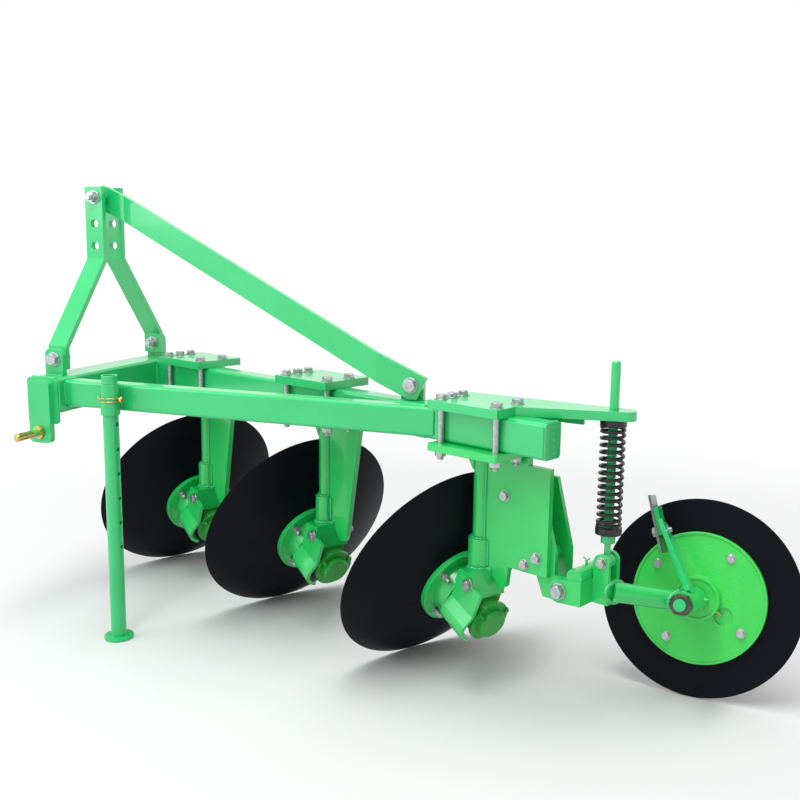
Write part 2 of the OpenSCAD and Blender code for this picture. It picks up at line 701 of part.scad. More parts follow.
// where the flange's first bolt stands, from the axle's level side
flange_spin = 52;
module flange_spots() {
  for (k = [0:3]) rotate(flange_spin + 90 * k) translate([flange_pcd / 2, 0]) children();
}
module hub(i) {
  // one revolved piece: flange with a raised lip, neck and bearing journal
  lip = 8;
  neck_small = neck_r - 8;
  low = dish_depth - 16;
  color(green) place() at_disc(i) difference() {
    rotate_extrude() polygon([
      [0, low], [flange_d / 2, low], [flange_d / 2, flange_back + lip_h],
      [flange_d / 2 - lip, flange_back + lip_h], [flange_d / 2 - lip - 2, flange_back],
      [neck_r, flange_back], [neck_small, neck_end], [journal_d / 2, neck_end],
      [journal_d / 2, neck_end + journal_len], [0, neck_end + journal_len]
    ]);
    translate([0, 0, dish_mid]) sphere(r = dish_r + run_clear, $fn = 200);
    translate([0, 0, dish_depth - 30]) linear_extrude(60) flange_spots() circle(d = flange_bolt_d + 2 * hole_clear);
  }
}
module hub_1() { hub(1); }
module hub_2() { hub(2); }
module hub_3() { hub(3); }
module disc(i) {
  color(black) place() at_disc(i) difference() {
    intersection() {
      translate([0, 0, dish_mid]) difference() {
        sphere(r = dish_r, $fn = 200);
        sphere(r = dish_r - disc_t, $fn = 200);
      }
      cylinder(d = disc_d + 20, h = 2 * dish_depth);
    }
    linear_extrude(2 * dish_depth) flange_spots() circle(d = flange_bolt_d + 2 * hole_clear);
  }
}
module disc_1() { disc(1); }
module disc_2() { disc(2); }
module disc_3() { disc(3); }
module hub_bolts(i) {
  // heads on the hollow side of the disc, nuts on the flange
  r = flange_pcd / 2;
  low = sqrt(pow(dish_r - disc_t, 2) - pow(r + flange_bolt_d, 2)) + dish_mid;
  color(zinc) place() at_disc(i) flange_spots() {
    translate([0, 0, low - 7]) cylinder(d = 2 * flange_bolt_d, h = 7);
    translate([0, 0, low - 1]) cylinder(d = flange_bolt_d, h = flange_back - low + 1 + bolt_out);
    translate([0, 0, flange_back]) hex(1.55 * flange_bolt_d, 11);
    translate([0, 0, flange_back + 10.5]) hex(1.4 * flange_bolt_d, 8);
  }
}
module hub_bolts_1() { hub_bolts(1); }
module hub_bolts_2() { hub_bolts(2); }
module hub_bolts_3() { hub_bolts(3); }

// rear wheel bracket on leg 3's web
bracket_bolt_d = 14;
function bracket_spots() = [[-78, under_z - 110], [-141, under_z - 270], [-176, under_z - 246]];
// children stand at leg 3's web: x along the beam from the pipe, y across, z up
module at_web() { at_pipe(3) rotate([0, 0, -beam_angle]) translate([0, leg_across, 0]) children(); }
module bracket_holes(d) {
  at_web() for (q = bracket_spots()) translate([q[0], 0, q[1]]) rotate([90, 0, 0])
    cylinder(d = d, h = 2 * beam_len, center = true);
}
pivot_x = pivot_al - clamp_al(3) - leg_fwd;
module side_plate(y0, t) {
  translate([0, y0, 0]) rotate([90, 0, 0]) linear_extrude(t) children();
}
module lug_shape(top, out) {
  polygon([[-40, top], [out + 46, top], [out, -pivot_drop + 84], [out, -pivot_drop + 30],
    [pivot_x, -pivot_drop + 30], [pivot_x, -pivot_drop - 30], [pivot_x + 52, -pivot_drop - 30],
    [pivot_x + 76, -pivot_drop + 28], [-40, under_z - 130]]);
  translate([pivot_x, -pivot_drop]) circle(30);
}
module wheel_bracket() {
  color(green) place() difference() {
    at_web() {
      side_plate(lug_near, bracket_t) lug_shape(under_z - 84, pivot_x + 20);
      side_plate(wing_near, bracket_t) lug_shape(under_z - 60, pivot_x + 20);
      for (q = bracket_spots()) translate([q[0], lug_far, q[1]]) rotate([90, 0, 0])
        cylinder(d = 40, h = lug_far - wing_near);
    }
    bracket_holes(bracket_bolt_d + 2 * hole_clear);
    at_web() translate([pivot_x, 0, -pivot_drop]) rotate([90, 0, 0])
      cylinder(d = mast_bolt_d + 2 * hole_clear, h = 2 * beam_len, center = true);
  }
}
module bracket_bolts() {
  grip = web_t + lug_near - wing_far;
  color(zinc) place() at_web() {
    for (q = bracket_spots()) translate([q[0], lug_near + web_t, q[1]]) rotate([90, 0, 0])
      bolt(bracket_bolt_d, grip + 18, grip);
    translate([pivot_x, ear_near, -pivot_drop]) rotate([90, 0, 0])
      bolt(mast_bolt_d, ear_near - ear_far + bracket_t + 22, ear_near - ear_far + bracket_t);
    translate([rod_al - clamp_al(3) - leg_fwd, -rod_across + block_half, -eye_drop]) rotate([90, 0, 0])
      bolt(bracket_bolt_d, 2 * block_half + 18, 2 * block_half);
  }
}
// yoke, clevis block, arm tube and axle sleeve, welded into one
module yoke_ear() {
  translate([pivot_x, -pivot_drop]) circle(29);
  polygon([[pivot_x, -pivot_drop + 29], [yoke_x, yoke_top], [yoke_x, yoke_low], [pivot_x, -pivot_drop - 29]]);
}
yoke_x = yoke_end - clamp_al(3) - leg_fwd;
rod_x = rod_al - clamp_al(3) - leg_fwd;
module wheel_arm() {
  tube_start = on_beam(rod_al - block_l / 2 + 6, -rod_across);
  p0 = [tube_start[0], tube_start[1], (yoke_top + yoke_low) / 2];
  d = arm_foot - p0;
  l = norm(d);
  color(green) place() difference() {
    union() {
      at_web() {
        side_plate(ear_near, bracket_t) yoke_ear();
        side_plate(ear_far + bracket_t, bracket_t) yoke_ear();
        translate([yoke_x, ear_far, yoke_low]) cube([bracket_t, ear_near - ear_far, yoke_h]);
        // cross tube between the ears
        translate([pivot_x - 38, ear_near - bracket_t / 2, yoke_top + 6]) rotate([90, 0, 0])
          cylinder(d = 42, h = ear_near - ear_far - bracket_t);
        // block with the clevis ears for the spring rod
        translate([rod_x - block_l / 2, -rod_across - block_half, yoke_low])
          cube([block_l, 2 * block_half, yoke_h]);
        for (y = [-rod_across + block_half, -rod_across - block_half + clevis_t]) side_plate(y, clevis_t) {
          translate([rod_x - block_l / 2, yoke_top - 1]) square([block_l, -eye_drop - yoke_top + 1]);
          translate([rod_x, -eye_drop]) circle(d = block_l);
        }
      }
      translate(p0) rotate([0, acos(d[2] / l), atan2(d[1], d[0])]) cylinder(d = arm_d, h = l);
      at_wheel() translate([0, 0, sleeve_start]) cylinder(d = arm_sleeve_d, h = arm_sleeve_len);
    }
    at_wheel() {
      translate([0, 0, sleeve_start - 1]) cylinder(d = axle_d + 2 * hole_clear, h = arm_sleeve_len + 2);
      // room for the axle's nut
      translate([0, 0, sleeve_end]) cylinder(d = axle_nut / cos(30) + 6, h = arm_sleeve_len);
    }
    at_web() {
      translate([pivot_x, 0, -pivot_drop]) rotate([90, 0, 0])
        cylinder(d = mast_bolt_d + 2 * hole_clear, h = 2 * beam_len, center = true);
      translate([rod_x, 0, -eye_drop]) rotate([90, 0, 0])
        cylinder(d = bracket_bolt_d + 2 * hole_clear, h = 2 * beam_len, center = true);
    }
  }
}
module wheel_axle() {
  color(steel) place() at_wheel() {
    translate([0, 0, -2]) cylinder(d = axle_d, h = sleeve_end + 2);
    translate([0, 0, boss_face + turn_gap]) cylinder(d = axle_d + 12, h = sleeve_start - boss_face - turn_gap);
    translate([0, 0, sleeve_end]) hex(axle_nut, 22);
    translate([0, 0, sleeve_end]) cylinder(d = 29, h = 30);
  }
}
module wheel_disc() {
  color(black) place() at_wheel() translate([0, 0, -wheel_t / 2]) difference() {
    cylinder(d = wheel_d, h = wheel_t, $fn = 128);
    translate([0, 0, -1]) cylinder(d = boss_d, h = wheel_t + 2);
    translate([0, 0, -1]) linear_extrude(wheel_t + 2) wheel_spots() circle(d = 12 + 2 * hole_clear);
  }
}
module wheel_spots() { for (k = [0:3]) rotate(58 + 90 * k) translate([wheel_pcd / 2, 0]) children(); }
module wheel_hub() {
  color(green) place() at_wheel() difference() {
    union() {
      difference() {
        translate([0, 0, wheel_t / 2]) cylinder(d = hub_plate_d, h = hub_plate_t + 3, $fn = 128);
        translate([0, 0, wheel_face]) cylinder(d = hub_plate_d - 12, h = 5, $fn = 128);
        // pocket beside the boss for the grease nipple
        translate([65, -36, wheel_face - 7]) cylinder(d = 46, h = 10);
      }
      translate([0, 0, -wheel_t / 2 - 14]) cylinder(d = boss_d - 1, h = wheel_t + 14);
      translate([0, 0, wheel_face]) cylinder(d = boss_d, h = boss_face - wheel_face);
    }
    translate([0, 0, -4]) cylinder(d = axle_d + 2 * run_clear, h = boss_face + 5);
    translate([0, 0, boss_face - 3]) cylinder(d = boss_d - 16, h = 4);
    linear_extrude(2 * wheel_face) wheel_spots() circle(d = 12 + 2 * hole_clear);
  }
}
module wheel_bolts() {
  color(zinc) place() at_wheel() wheel_spots() translate([0, 0, wheel_face]) rotate([180, 0, 0])
    bolt(12, hub_plate_t + wheel_t + 14, hub_plate_t + wheel_t);
}
// scraper beside the wheel, carried by the axle sleeve
blade_angle = 108;
blade_at = [-112, 172];
blade_in = wheel_face + 3 + turn_gap;
module scraper_arm() {
  a = [10, arm_sleeve_d / 2 - 6, sleeve_end - 34];
  b = [-98, 178, blade_in + 44];
  d = b - a;
  l = norm(d);
  color(green) place() at_wheel() difference() {
    union() {
      translate(a) rotate([0, acos(d[2] / l), atan2(d[1], d[0])]) translate([-20, -6, 0]) cube([40, 12, l]);
      translate([blade_at[0], blade_at[1], 0]) rotate(blade_angle) translate([-30, -14, blade_in + 12])
        cube([72, 12, 48]);
    }
    at_sleeve();
  }
}
module at_sleeve() { translate([0, 0, sleeve_start - 50]) cylinder(d = arm_sleeve_d, h = arm_sleeve_len + 90); }
module scraper_blade() {
  color(steel) place() at_wheel() translate([blade_at[0], blade_at[1], 0]) rotate(blade_angle)
    translate([-74, -2, blade_in]) cube([148, 6, 62]);
}

module spring_rod() {
  top = beam_top + plate_t + rod_top;
  color(green) place() translate([rod_xy[0], rod_xy[1], 0]) difference() {
    union() {
      translate([0, 0, collar_low]) cylinder(d = rod_d, h = top - collar_low - 3);
      translate([0, 0, top - 3]) cylinder(d1 = rod_d, d2 = rod_d - 6, h = 3);
      translate([0, 0, collar_low]) cylinder(d = rod_d + 12, h = 22);
      translate([0, 0, -eye_drop]) cylinder(d = 15, h = collar_low + eye_drop + 1);
      rotate([0, 0, -beam_angle]) translate([0, 0, -eye_drop]) rotate([90, 0, 0])
        cylinder(d = 34, h = clevis_gap - 2, center = true);
    }
    rotate([0, 0, -beam_angle]) translate([0, 0, -eye_drop]) rotate([90, 0, 0])
      cylinder(d = bracket_bolt_d + 2 * hole_clear, h = 2 * clevis_gap, center = true);
  }
}
// one helical wire, eight sides round, flat-lying end turns
spring_r = spring_d / 2 - spring_wire / 2;
ring_per_turn = 16;
function spring_rise(t) = t < 1 ? spring_wire * t * 0.98 :
  t > spring_turns - 1 ? spring_len - spring_wire - (spring_turns - t) * spring_wire * 0.98 :
  spring_wire * 0.98 + (t - 1) * (spring_len - spring_wire - 1.96 * spring_wire) / (spring_turns - 2);
module wheel_spring() {
  n = spring_turns * ring_per_turn;
  sides = 8;
  pts = [for (k = [0:n], s = [0:sides - 1])
    let (a = 360 * k / ring_per_turn, b = 360 * s / sides, r = spring_r + spring_wire / 2 * cos(b))
    [r * cos(a), r * sin(a), spring_wire / 2 + spring_rise(k / ring_per_turn) + spring_wire / 2 * sin(b)]];
  walls = [for (k = [0:n - 1], s = [0:sides - 1])
    let (p = k * sides + s, q = k * sides + (s + 1) % sides)
    each [[p, p + sides, q], [q, p + sides, q + sides]]];
  color(black) place() translate([rod_xy[0], rod_xy[1], spring_low])
    polyhedron(pts, concat(walls, [[for (s = [0:sides - 1]) s]], [[for (s = [sides - 1:-1:0]) n * sides + s]]));
}
module spring_seat() {
  difference() {
    cylinder(d = spring_d + 1, h = seat_h);
    translate([0, 0, -1]) cylinder(d = rod_d + 2 * slide_clear, h = seat_h + 2);
  }
}
module spring_seats() {
  color(black) place() translate([rod_xy[0], rod_xy[1], 0]) {
    translate([0, 0, spring_top]) spring_seat();
    translate([0, 0, spring_low - seat_h]) spring_seat();
  }
}

module stand_sleeve() {
  color(green) place() translate([-stand_back, stand_y, -stand_sleeve_len / 2]) difference() {
    union() {
      cylinder(r = sleeve_r, h = stand_sleeve_len);
      translate([-15, -stand_y, 12]) cube([30, stand_y, stand_sleeve_len - 24]);
    }
    translate([0, 0, -1]) cylinder(r = stand_r + slide_clear, h = stand_sleeve_len + 2);
    translate([0, 0, stand_sleeve_len / 2]) rotate([0, 90, 0])
      cylinder(d = lock_d + 2 * hole_clear, h = 4 * sleeve_r, center = true);
  }
}
module stand_leg() {
  color(green) place() translate([-stand_back, stand_y, 0]) {
    difference() {
      translate([0, 0, -frame_height + foot_t]) cylinder(r = stand_r, h = frame_height - foot_t + 66);
      translate([0, 0, -frame_height + foot_t]) cylinder(r = stand_r - stand_wall, h = frame_height - foot_t + 50);
      translate([0, 0, 58]) cylinder(r = stand_r - stand_wall, h = 10);
      for (k = [0:6]) translate([0, 0, -hole_pitch * k]) rotate([0, 90, 0])
        cylinder(d = lock_d + 2 * hole_clear, h = 4 * stand_r, center = true);
    }
    translate([0, 0, -frame_height]) cylinder(d = foot_d, h = foot_t);
  }
}
module lock_pin() {
  color(gold) place() translate([-stand_back, stand_y, 0]) rotate([0, 90, 0]) {
    translate([0, 0, -sleeve_r - 16]) cylinder(d = lock_d, h = 2 * sleeve_r + 30);
    translate([0, 0, -sleeve_r - 24]) cylinder(d = 2 * lock_d, h = 8);
  }
}

crossbeam();
main_beam();
left_beam();
beam_cap();
hitch_plates();
hitch_pin_left();
hitch_pin_right();
mast_lugs();
mast_bar_left();
mast_bar_right();
mast_bolts();
mast_spacers();
strut();
strut_lug();
clamp_plate_1();
clamp_plate_2();
clamp_plate_3();
clamp_bolts_1();
clamp_bolts_2();
clamp_bolts_3();
leg_1();
leg_2();
leg_3();
hub_housing_1();
hub_housing_2();
hub_housing_3();
hub_1();
hub_2();
hub_3();
disc_1();
disc_2();
disc_3();
hub_bolts_1();
hub_bolts_2();
hub_bolts_3();
wheel_bracket();
bracket_bolts();
wheel_arm();
wheel_axle();
spring_rod();
wheel_spring();
spring_seats();
scraper_arm();
scraper_blade();
wheel_disc();
wheel_hub();
wheel_bolts();
stand_sleeve();
stand_leg();
lock_pin();
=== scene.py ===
import json
import math

import bmesh
import bpy
from mathutils import Matrix, Vector


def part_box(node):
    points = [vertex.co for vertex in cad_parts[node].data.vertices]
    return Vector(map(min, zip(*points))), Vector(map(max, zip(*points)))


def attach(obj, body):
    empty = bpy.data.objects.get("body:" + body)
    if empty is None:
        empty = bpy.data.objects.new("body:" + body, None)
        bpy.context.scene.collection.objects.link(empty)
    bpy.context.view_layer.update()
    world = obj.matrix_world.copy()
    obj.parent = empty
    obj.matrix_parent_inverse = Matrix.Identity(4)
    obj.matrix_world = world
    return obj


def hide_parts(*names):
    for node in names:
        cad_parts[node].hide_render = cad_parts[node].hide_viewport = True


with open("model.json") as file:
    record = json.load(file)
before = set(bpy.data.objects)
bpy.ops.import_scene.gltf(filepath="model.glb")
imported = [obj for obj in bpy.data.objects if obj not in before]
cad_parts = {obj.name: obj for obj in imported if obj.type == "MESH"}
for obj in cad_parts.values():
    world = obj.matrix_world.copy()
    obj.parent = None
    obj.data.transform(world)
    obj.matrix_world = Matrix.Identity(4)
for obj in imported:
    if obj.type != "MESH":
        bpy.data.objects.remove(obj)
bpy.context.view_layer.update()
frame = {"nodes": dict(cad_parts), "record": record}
nodes = frame["nodes"]
print("plough frame loaded:", len(nodes), "pieces")

# sizes of the plough in millimetres, as in its source
plough = dict(beamAngle=22.3, beamW=62, beamH=85, beamLen=1520, beamOffset=452, leftW=55, leftH=75,
              crossS=100, crossDrop=5, crossMid=278, crossLen=604, clampFirst=170, clampPitch=568.5,
              plateT=22, underT=18, clampBolt=16, clampBoltX=83, pipeD=40, legFwd=36, legAcross=96.5,
              sleeveD=61, sleeveLen=76, webT=16, webTop=146, housingR=62, headRise=48, discTurn=56,
              discTilt=23.9, hubReach=177, discD=610, dishR=600, discT=6, flangeT=3, flangePcd=175,
              flangeBolt=12, flangeSpin=52, wheelBack=1739, wheelRight=258, wheelTurn=8.5, wheelTilt=13.5,
              wheelD=500, wheelT=8, hubPlateT=12, wheelPcd=260, boltSpin=58, armSleeveD=60, frameHeight=692)
p = plough
units = (1, 2, 3)                                 # disc units from the front to the rear
ca, sa = math.cos(math.radians(p["beamAngle"])), math.sin(math.radians(p["beamAngle"]))
discCos, discSin = math.cos(math.radians(p["discTilt"])), math.sin(math.radians(p["discTilt"]))
wheelCos, wheelSin = math.cos(math.radians(p["wheelTilt"])), math.sin(math.radians(p["wheelTilt"]))
beamTop = p["beamH"] / 2
underZ = -beamTop - p["underT"]
hubZ = -p["frameHeight"] + p["discD"] / 2 * discCos - p["hubReach"] * discSin
headTop = hubZ + p["housingR"] / discCos + p["headRise"]
wheelZ = -p["frameHeight"] + p["wheelD"] / 2 * wheelCos + p["wheelT"] / 2 * wheelSin
lo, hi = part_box("crossbeam")
home = Vector((lo.x, (lo.y + hi.y) / 2 + p["crossMid"] / 1000, p["frameHeight"] / 1000))
mm = Matrix.Translation(home) @ Matrix.Scale(0.001, 4)      # plough millimetres to the shared frame in metres


def turn(axis, degrees):
    return Matrix.Rotation(math.radians(degrees), 4, axis)


def shift(x, y, z):
    return Matrix.Translation((x, y, z))


def clampAl(i):
    return -p["clampFirst"] - (i - 1) * p["clampPitch"]


def onBeam(al, ac, z=0):
    return Vector((al * ca + ac * sa, -p["beamOffset"] - al * sa + ac * ca, z))


beamAt = mm @ shift(0, -p["beamOffset"], 0) @ turn("Z", -p["beamAngle"])     # x along, y across, z up
wheelAt = mm @ shift(-p["wheelBack"], -p["wheelRight"], wheelZ) @ turn("Z", 180 - p["wheelTurn"]) \
    @ turn("X", 90 - p["wheelTilt"])                                         # z along the axle


def clampAt(i):
    return beamAt @ shift(clampAl(i), 0, 0)


def pipeAt(i):
    foot = onBeam(clampAl(i) + p["legFwd"], -p["legAcross"])
    return mm @ Matrix.Translation(foot) @ turn("Z", -p["beamAngle"])


def discAt(i):
    foot = onBeam(clampAl(i) + p["legFwd"], -p["legAcross"], hubZ)
    return mm @ Matrix.Translation(foot) @ turn("Z", 180 + p["discTurn"]) @ turn("X", 90 + p["discTilt"]) \
        @ shift(0, 0, -p["hubReach"])


webAt = pipeAt(3) @ shift(0, p["legAcross"], 0)
hitchMid = home - Vector((0, p["crossMid"] / 1000, 0))
wheelMid = wheelAt.translation
wheelOut = (wheelAt.to_3x3() @ Vector((0, 0, 1))).normalized()

# camera solved from the photograph
view = dict(place=home + Vector((-1.8444, 2.2427, 0.4556)), yaw=20.32, pitch=9.60, roll=0.67, lens=44.106,
            sensor=36)


def makeCamera(v):
    yaw, pitch, roll = (math.radians(v[k]) for k in ("yaw", "pitch", "roll"))
    ahead = Vector((math.sin(yaw) * math.cos(pitch), -math.cos(yaw) * math.cos(pitch), -math.sin(pitch)))
    right = ahead.cross(Vector((0, 0, 1))).normalized()
    up = right.cross(ahead)
    right, up = right * math.cos(roll) + up * math.sin(roll), up * math.cos(roll) - right * math.sin(roll)
    data = bpy.data.cameras.new("camera")
    data.lens, data.sensor_width, data.sensor_fit = v["lens"], v["sensor"], "HORIZONTAL"
    cam = bpy.data.objects.new("camera", data)
    bpy.context.scene.collection.objects.link(cam)
    cam.matrix_world = Matrix.Translation(v["place"]) @ Matrix((right, up, -ahead)).transposed().to_4x4()
    bpy.context.scene.camera = cam


makeCamera(view)
print("camera set")


# shader sockets that take part in plain Python maths
class Sock:
    def __init__(self, shade, out):
        self.shade, self.out = shade, out

    def maths(self, operation, a, b):
        return self.shade.add("ShaderNodeMath", {"operation": operation}, {0: a, 1: b})

    def __add__(self, other):
        return self.maths("ADD", self, other)

    def __radd__(self, other):
        return self.maths("ADD", other, self)

    def __sub__(self, other):
        return self.maths("SUBTRACT", self, other)

    def __rsub__(self, other):
        return self.maths("SUBTRACT", other, self)

    def __mul__(self, other):
        return self.maths("MULTIPLY", self, other)

    def __rmul__(self, other):
        return self.maths("MULTIPLY", other, self)


# limits of the edge mask, which lightens the colour along edges as a painted highlight
bevels = dict(samples=6, edgeHighlightFrom=0.02, edgeHighlightTo=0.22)


class Shade:
    def __init__(self, owner):                    # a material, or the world
        owner.use_nodes = True
        self.owner, self.tree = owner, owner.node_tree
        self.tree.nodes.clear()

    def add(self, kind, settings=None, sockets=None, out=0):
        node = self.tree.nodes.new(kind)
        for key, value in (settings or {}).items():
            setattr(node, key, value)
        for key, value in (sockets or {}).items():
            if isinstance(value, Sock):
                self.tree.links.new(value.out, node.inputs[key])
            else:
                node.inputs[key].default_value = value
        return Sock(self, node.outputs[out]) if node.outputs else None

    def here(self):                               # object coordinates
        return self.add("ShaderNodeTexCoord", out=3)

    def vectors(self, operation, a, b=(0, 0, 0), out=0):      # out 1 is the plain number
        return self.add("ShaderNodeVectorMath", {"operation": operation}, {0: a, 1: b}, out)

    def noise(self, where, scale, detail=3, rough=0.55):
        return self.add("ShaderNodeTexNoise", None,
                        {"Vector": where, "Scale": scale, "Detail": detail, "Roughness": rough})

    def span(self, value, low, high, a=0.0, b=1.0):
        return self.add("ShaderNodeMapRange", {"interpolation_type": "SMOOTHSTEP"},
                        {"Value": value, "From Min": low, "From Max": high, "To Min": a, "To Max": b})

    def blend(self, factor, a, b):
        return self.add("ShaderNodeMix", {"data_type": "RGBA"}, {0: factor, 6: a, 7: b}, out=2)

    def edges(self, radius):                      # rounded normal, and a mask of the edges that get a painted highlight
        soft = self.add("ShaderNodeBevel", {"samples": bevels["samples"]}, {"Radius": radius})
        flat = self.add("ShaderNodeNewGeometry", out=1)
        same = self.vectors("DOT_PRODUCT", soft, flat, out=1)
        return soft, self.span(1 - same, bevels["edgeHighlightFrom"], bevels["edgeHighlightTo"])

    def bump(self, strength, distance, height, normal):
        return self.add("ShaderNodeBump", None, {"Strength": strength, "Distance": distance,
                                                 "Height": height, "Normal": normal})

    def finish(self, **sockets):
        values = {k.replace("_", " "): s for k, s in sockets.items()}
        shader = self.add("ShaderNodeBsdfPrincipled", None, values)
        self.add("ShaderNodeOutputMaterial", None, {"Surface": shader})
        return self.owner


def rgba(r, g, b):
    return (r, g, b, 1.0)


def grey(tone):
    return rgba(tone, tone, tone)


# gloss machine paint with orange peel, duller specks and a painted highlight along the edges
paintGrain = dict(patchScale=5.0, patchSpan=(0.35, 0.7), patchDull=0.05, speckScale=60.0, speckRough=0.7,
                  speckSpan=(0.62, 0.75), speckDull=0.08, coatRough=0.08)
paints = dict(
    green=dict(colour=(0.011, 0.49, 0.142), deep=(0.007, 0.42, 0.110), thin=(0.06, 0.60, 0.24), rough=0.32,
               coat=0.7, edge=0.0022, edgeHighlightShare=0.4, patch=0.6, peel=0.12, peelScale=260.0, peelDeep=0.0006,
               shine=0.5),
    castGreen=dict(colour=(0.036, 0.66, 0.088), deep=(0.024, 0.54, 0.060), thin=(0.10, 0.68, 0.19),
                   rough=0.38, coat=0.3, edge=0.003, edgeHighlightShare=0.4, patch=0.8, peel=0.45, peelScale=130.0,
                   peelDeep=0.0018, shine=0.5),
    # a darker copy of the cast green, painted shade for the shaded ends of the hub housings
    shadedCastGreen=dict(colour=(0.016, 0.32, 0.034), deep=(0.010, 0.25, 0.022), thin=(0.06, 0.48, 0.12),
                  rough=0.42, coat=0.2, edge=0.003, edgeHighlightShare=0.5, patch=0.8, peel=0.45, peelScale=130.0,
                  peelDeep=0.0018, shine=0.35),
    black=dict(colour=(0.0030, 0.0034, 0.0070), deep=(0.0018, 0.0020, 0.0042), thin=(0.03, 0.03, 0.036),
               rough=0.42, coat=0.0, edge=0.0015, edgeHighlightShare=0.5, patch=0.7, peel=0.14, peelScale=200.0,
               peelDeep=0.0005, shine=0.10),
    springBlack=dict(colour=(0.006, 0.006, 0.009), deep=(0.004, 0.004, 0.006), thin=(0.04, 0.04, 0.05),
                     rough=0.30, coat=0.2, edge=0.001, edgeHighlightShare=0.4, patch=0.5, peel=0.1, peelScale=300.0,
                     peelDeep=0.0004, shine=0.4),
)
paints["legGreen"] = dict(paints["green"], colour=(0.010, 0.54, 0.104), deep=(0.006, 0.46, 0.078))


def makePaint(name, s):
    g = paintGrain
    m = Shade(bpy.data.materials.new(name))
    here = m.here()
    soft, edgeHighlight = m.edges(s["edge"])
    patch = m.span(m.noise(here, g["patchScale"], 4), *g["patchSpan"])
    peel = m.noise(here, s["peelScale"], 2)
    specks = m.span(m.noise(here, g["speckScale"], 5, g["speckRough"]), *g["speckSpan"])
    colour = m.blend(patch * s["patch"], rgba(*s["colour"]), rgba(*s["deep"]))
    # painted highlight: the colour turns lighter along the edges
    colour = m.blend(edgeHighlight * s["edgeHighlightShare"], colour, rgba(*s["thin"]))
    rough = s["rough"] + patch * g["patchDull"] + specks * g["speckDull"]
    return m.finish(Base_Color=colour, Roughness=rough, Normal=m.bump(s["peel"], s["peelDeep"], peel, soft),
                    Coat_Weight=s["coat"], Coat_Roughness=g["coatRough"], Specular_IOR_Level=s["shine"])


# plated and bare metal; spray is green paint that strayed onto it, from a point along a direction
# the edge lift scales the metal's colour along edges, a painted highlight
metalGrain = dict(cloudShare=0.25, cloudSpan=(0.35, 0.7), cloud=0.7, edgeHighlightShare=0.4, edgeHighlightLift=1.3, dull=0.14,
                  polish=0.05, bump=0.12, bumpDeep=0.0004, sprayScale=90.0)
metals = dict(
    zinc=dict(colour=(0.54, 0.55, 0.56), deep=(0.34, 0.35, 0.36), rough=0.34, edge=0.0008, grain=420.0),
    gold=dict(colour=(0.70, 0.48, 0.14), deep=(0.50, 0.38, 0.17), rough=0.26, edge=0.001, grain=160.0,
              spray=dict(start=hitchMid, way=(0, 1, 0), near=(0.338, 0.344), far=(0.348, 0.372),
                         patches=(0.30, 0.45))),
    darkSteel=dict(colour=(0.13, 0.10, 0.085), deep=(0.06, 0.048, 0.042), rough=0.38, edge=0.0012,
                   grain=220.0, spray=dict(start=wheelMid, way=wheelOut, near=(0.2312, 0.2316),
                                           far=(0.9, 0.95), patches=(-0.2, -0.1))),
    bareSteel=dict(colour=(0.34, 0.35, 0.37), deep=(0.20, 0.205, 0.22), rough=0.36, edge=0.001, grain=300.0),
    brass=dict(colour=(0.72, 0.48, 0.17), deep=(0.50, 0.33, 0.12), rough=0.28, edge=0.0005, grain=300.0),
)


def sprayMask(m, here, spray):
    run = m.vectors("DOT_PRODUCT", m.vectors("SUBTRACT", here, spray["start"]), spray["way"], out=1)
    run = m.add("ShaderNodeMath", {"operation": "ABSOLUTE"}, {0: run})
    patches = m.span(m.noise(here, metalGrain["sprayScale"], 4), *spray["patches"])
    return m.span(run, *spray["near"]) * m.span(run, *spray["far"], 1.0, 0.0) * patches


def makeMetal(name, s):
    g = metalGrain
    m = Shade(bpy.data.materials.new(name))
    here = m.here()
    soft, edgeHighlight = m.edges(s["edge"])
    cloud = m.span(m.noise(here, s["grain"] * g["cloudShare"], 4), *g["cloudSpan"])
    grain = m.noise(here, s["grain"], 3)
    colour = m.blend(cloud * g["cloud"], rgba(*s["colour"]), rgba(*s["deep"]))
    # painted highlight: the colour turns lighter along the edges
    colour = m.blend(edgeHighlight * g["edgeHighlightShare"], colour, rgba(*[min(1, c * g["edgeHighlightLift"]) for c in s["colour"]]))
    rough = s["rough"] + grain * g["dull"] - g["polish"]
    bare = 1.0
    if "spray" in s:
        coated = sprayMask(m, here, s["spray"])
        colour = m.blend(coated, colour, rgba(*paints["green"]["colour"]))
        bare = 1.0 - coated
    return m.finish(Base_Color=colour, Roughness=rough, Metallic=bare,
                    Normal=m.bump(g["bump"], g["bumpDeep"], grain, soft))


finish = {k: makePaint(k, s) for k, s in paints.items()}
finish.update({k: makeMetal(k, s) for k, s in metals.items()})
slotFinish = dict(green_paint="green", black_paint="black", spring_black="springBlack", bright_zinc="zinc",
                  yellow_zinc="gold", dark_steel="darkSteel", bare_steel="bareSteel")
finishSlot = {look: slot for slot, look in slotFinish.items()}
finishSlot["brass"] = "yellow_zinc"
ownLook = dict(wheel_hub="castGreen", wheel_arm="legGreen", wheel_bracket="legGreen")
for i in units:
    # the hub housings take the darker cast green, which is painted shade
    ownLook.update({f"leg_{i}": "legGreen", f"hub_{i}": "legGreen", f"hub_housing_{i}": "shadedCastGreen"})
for row in frame["record"]["subparts"]:
    look = ownLook.get(row["node"], slotFinish[row["material_slot"]])
    slots = nodes[row["node"]].data.materials
    slots.clear()
    slots.append(finish[look])
print("finishes on", len(nodes), "pieces")


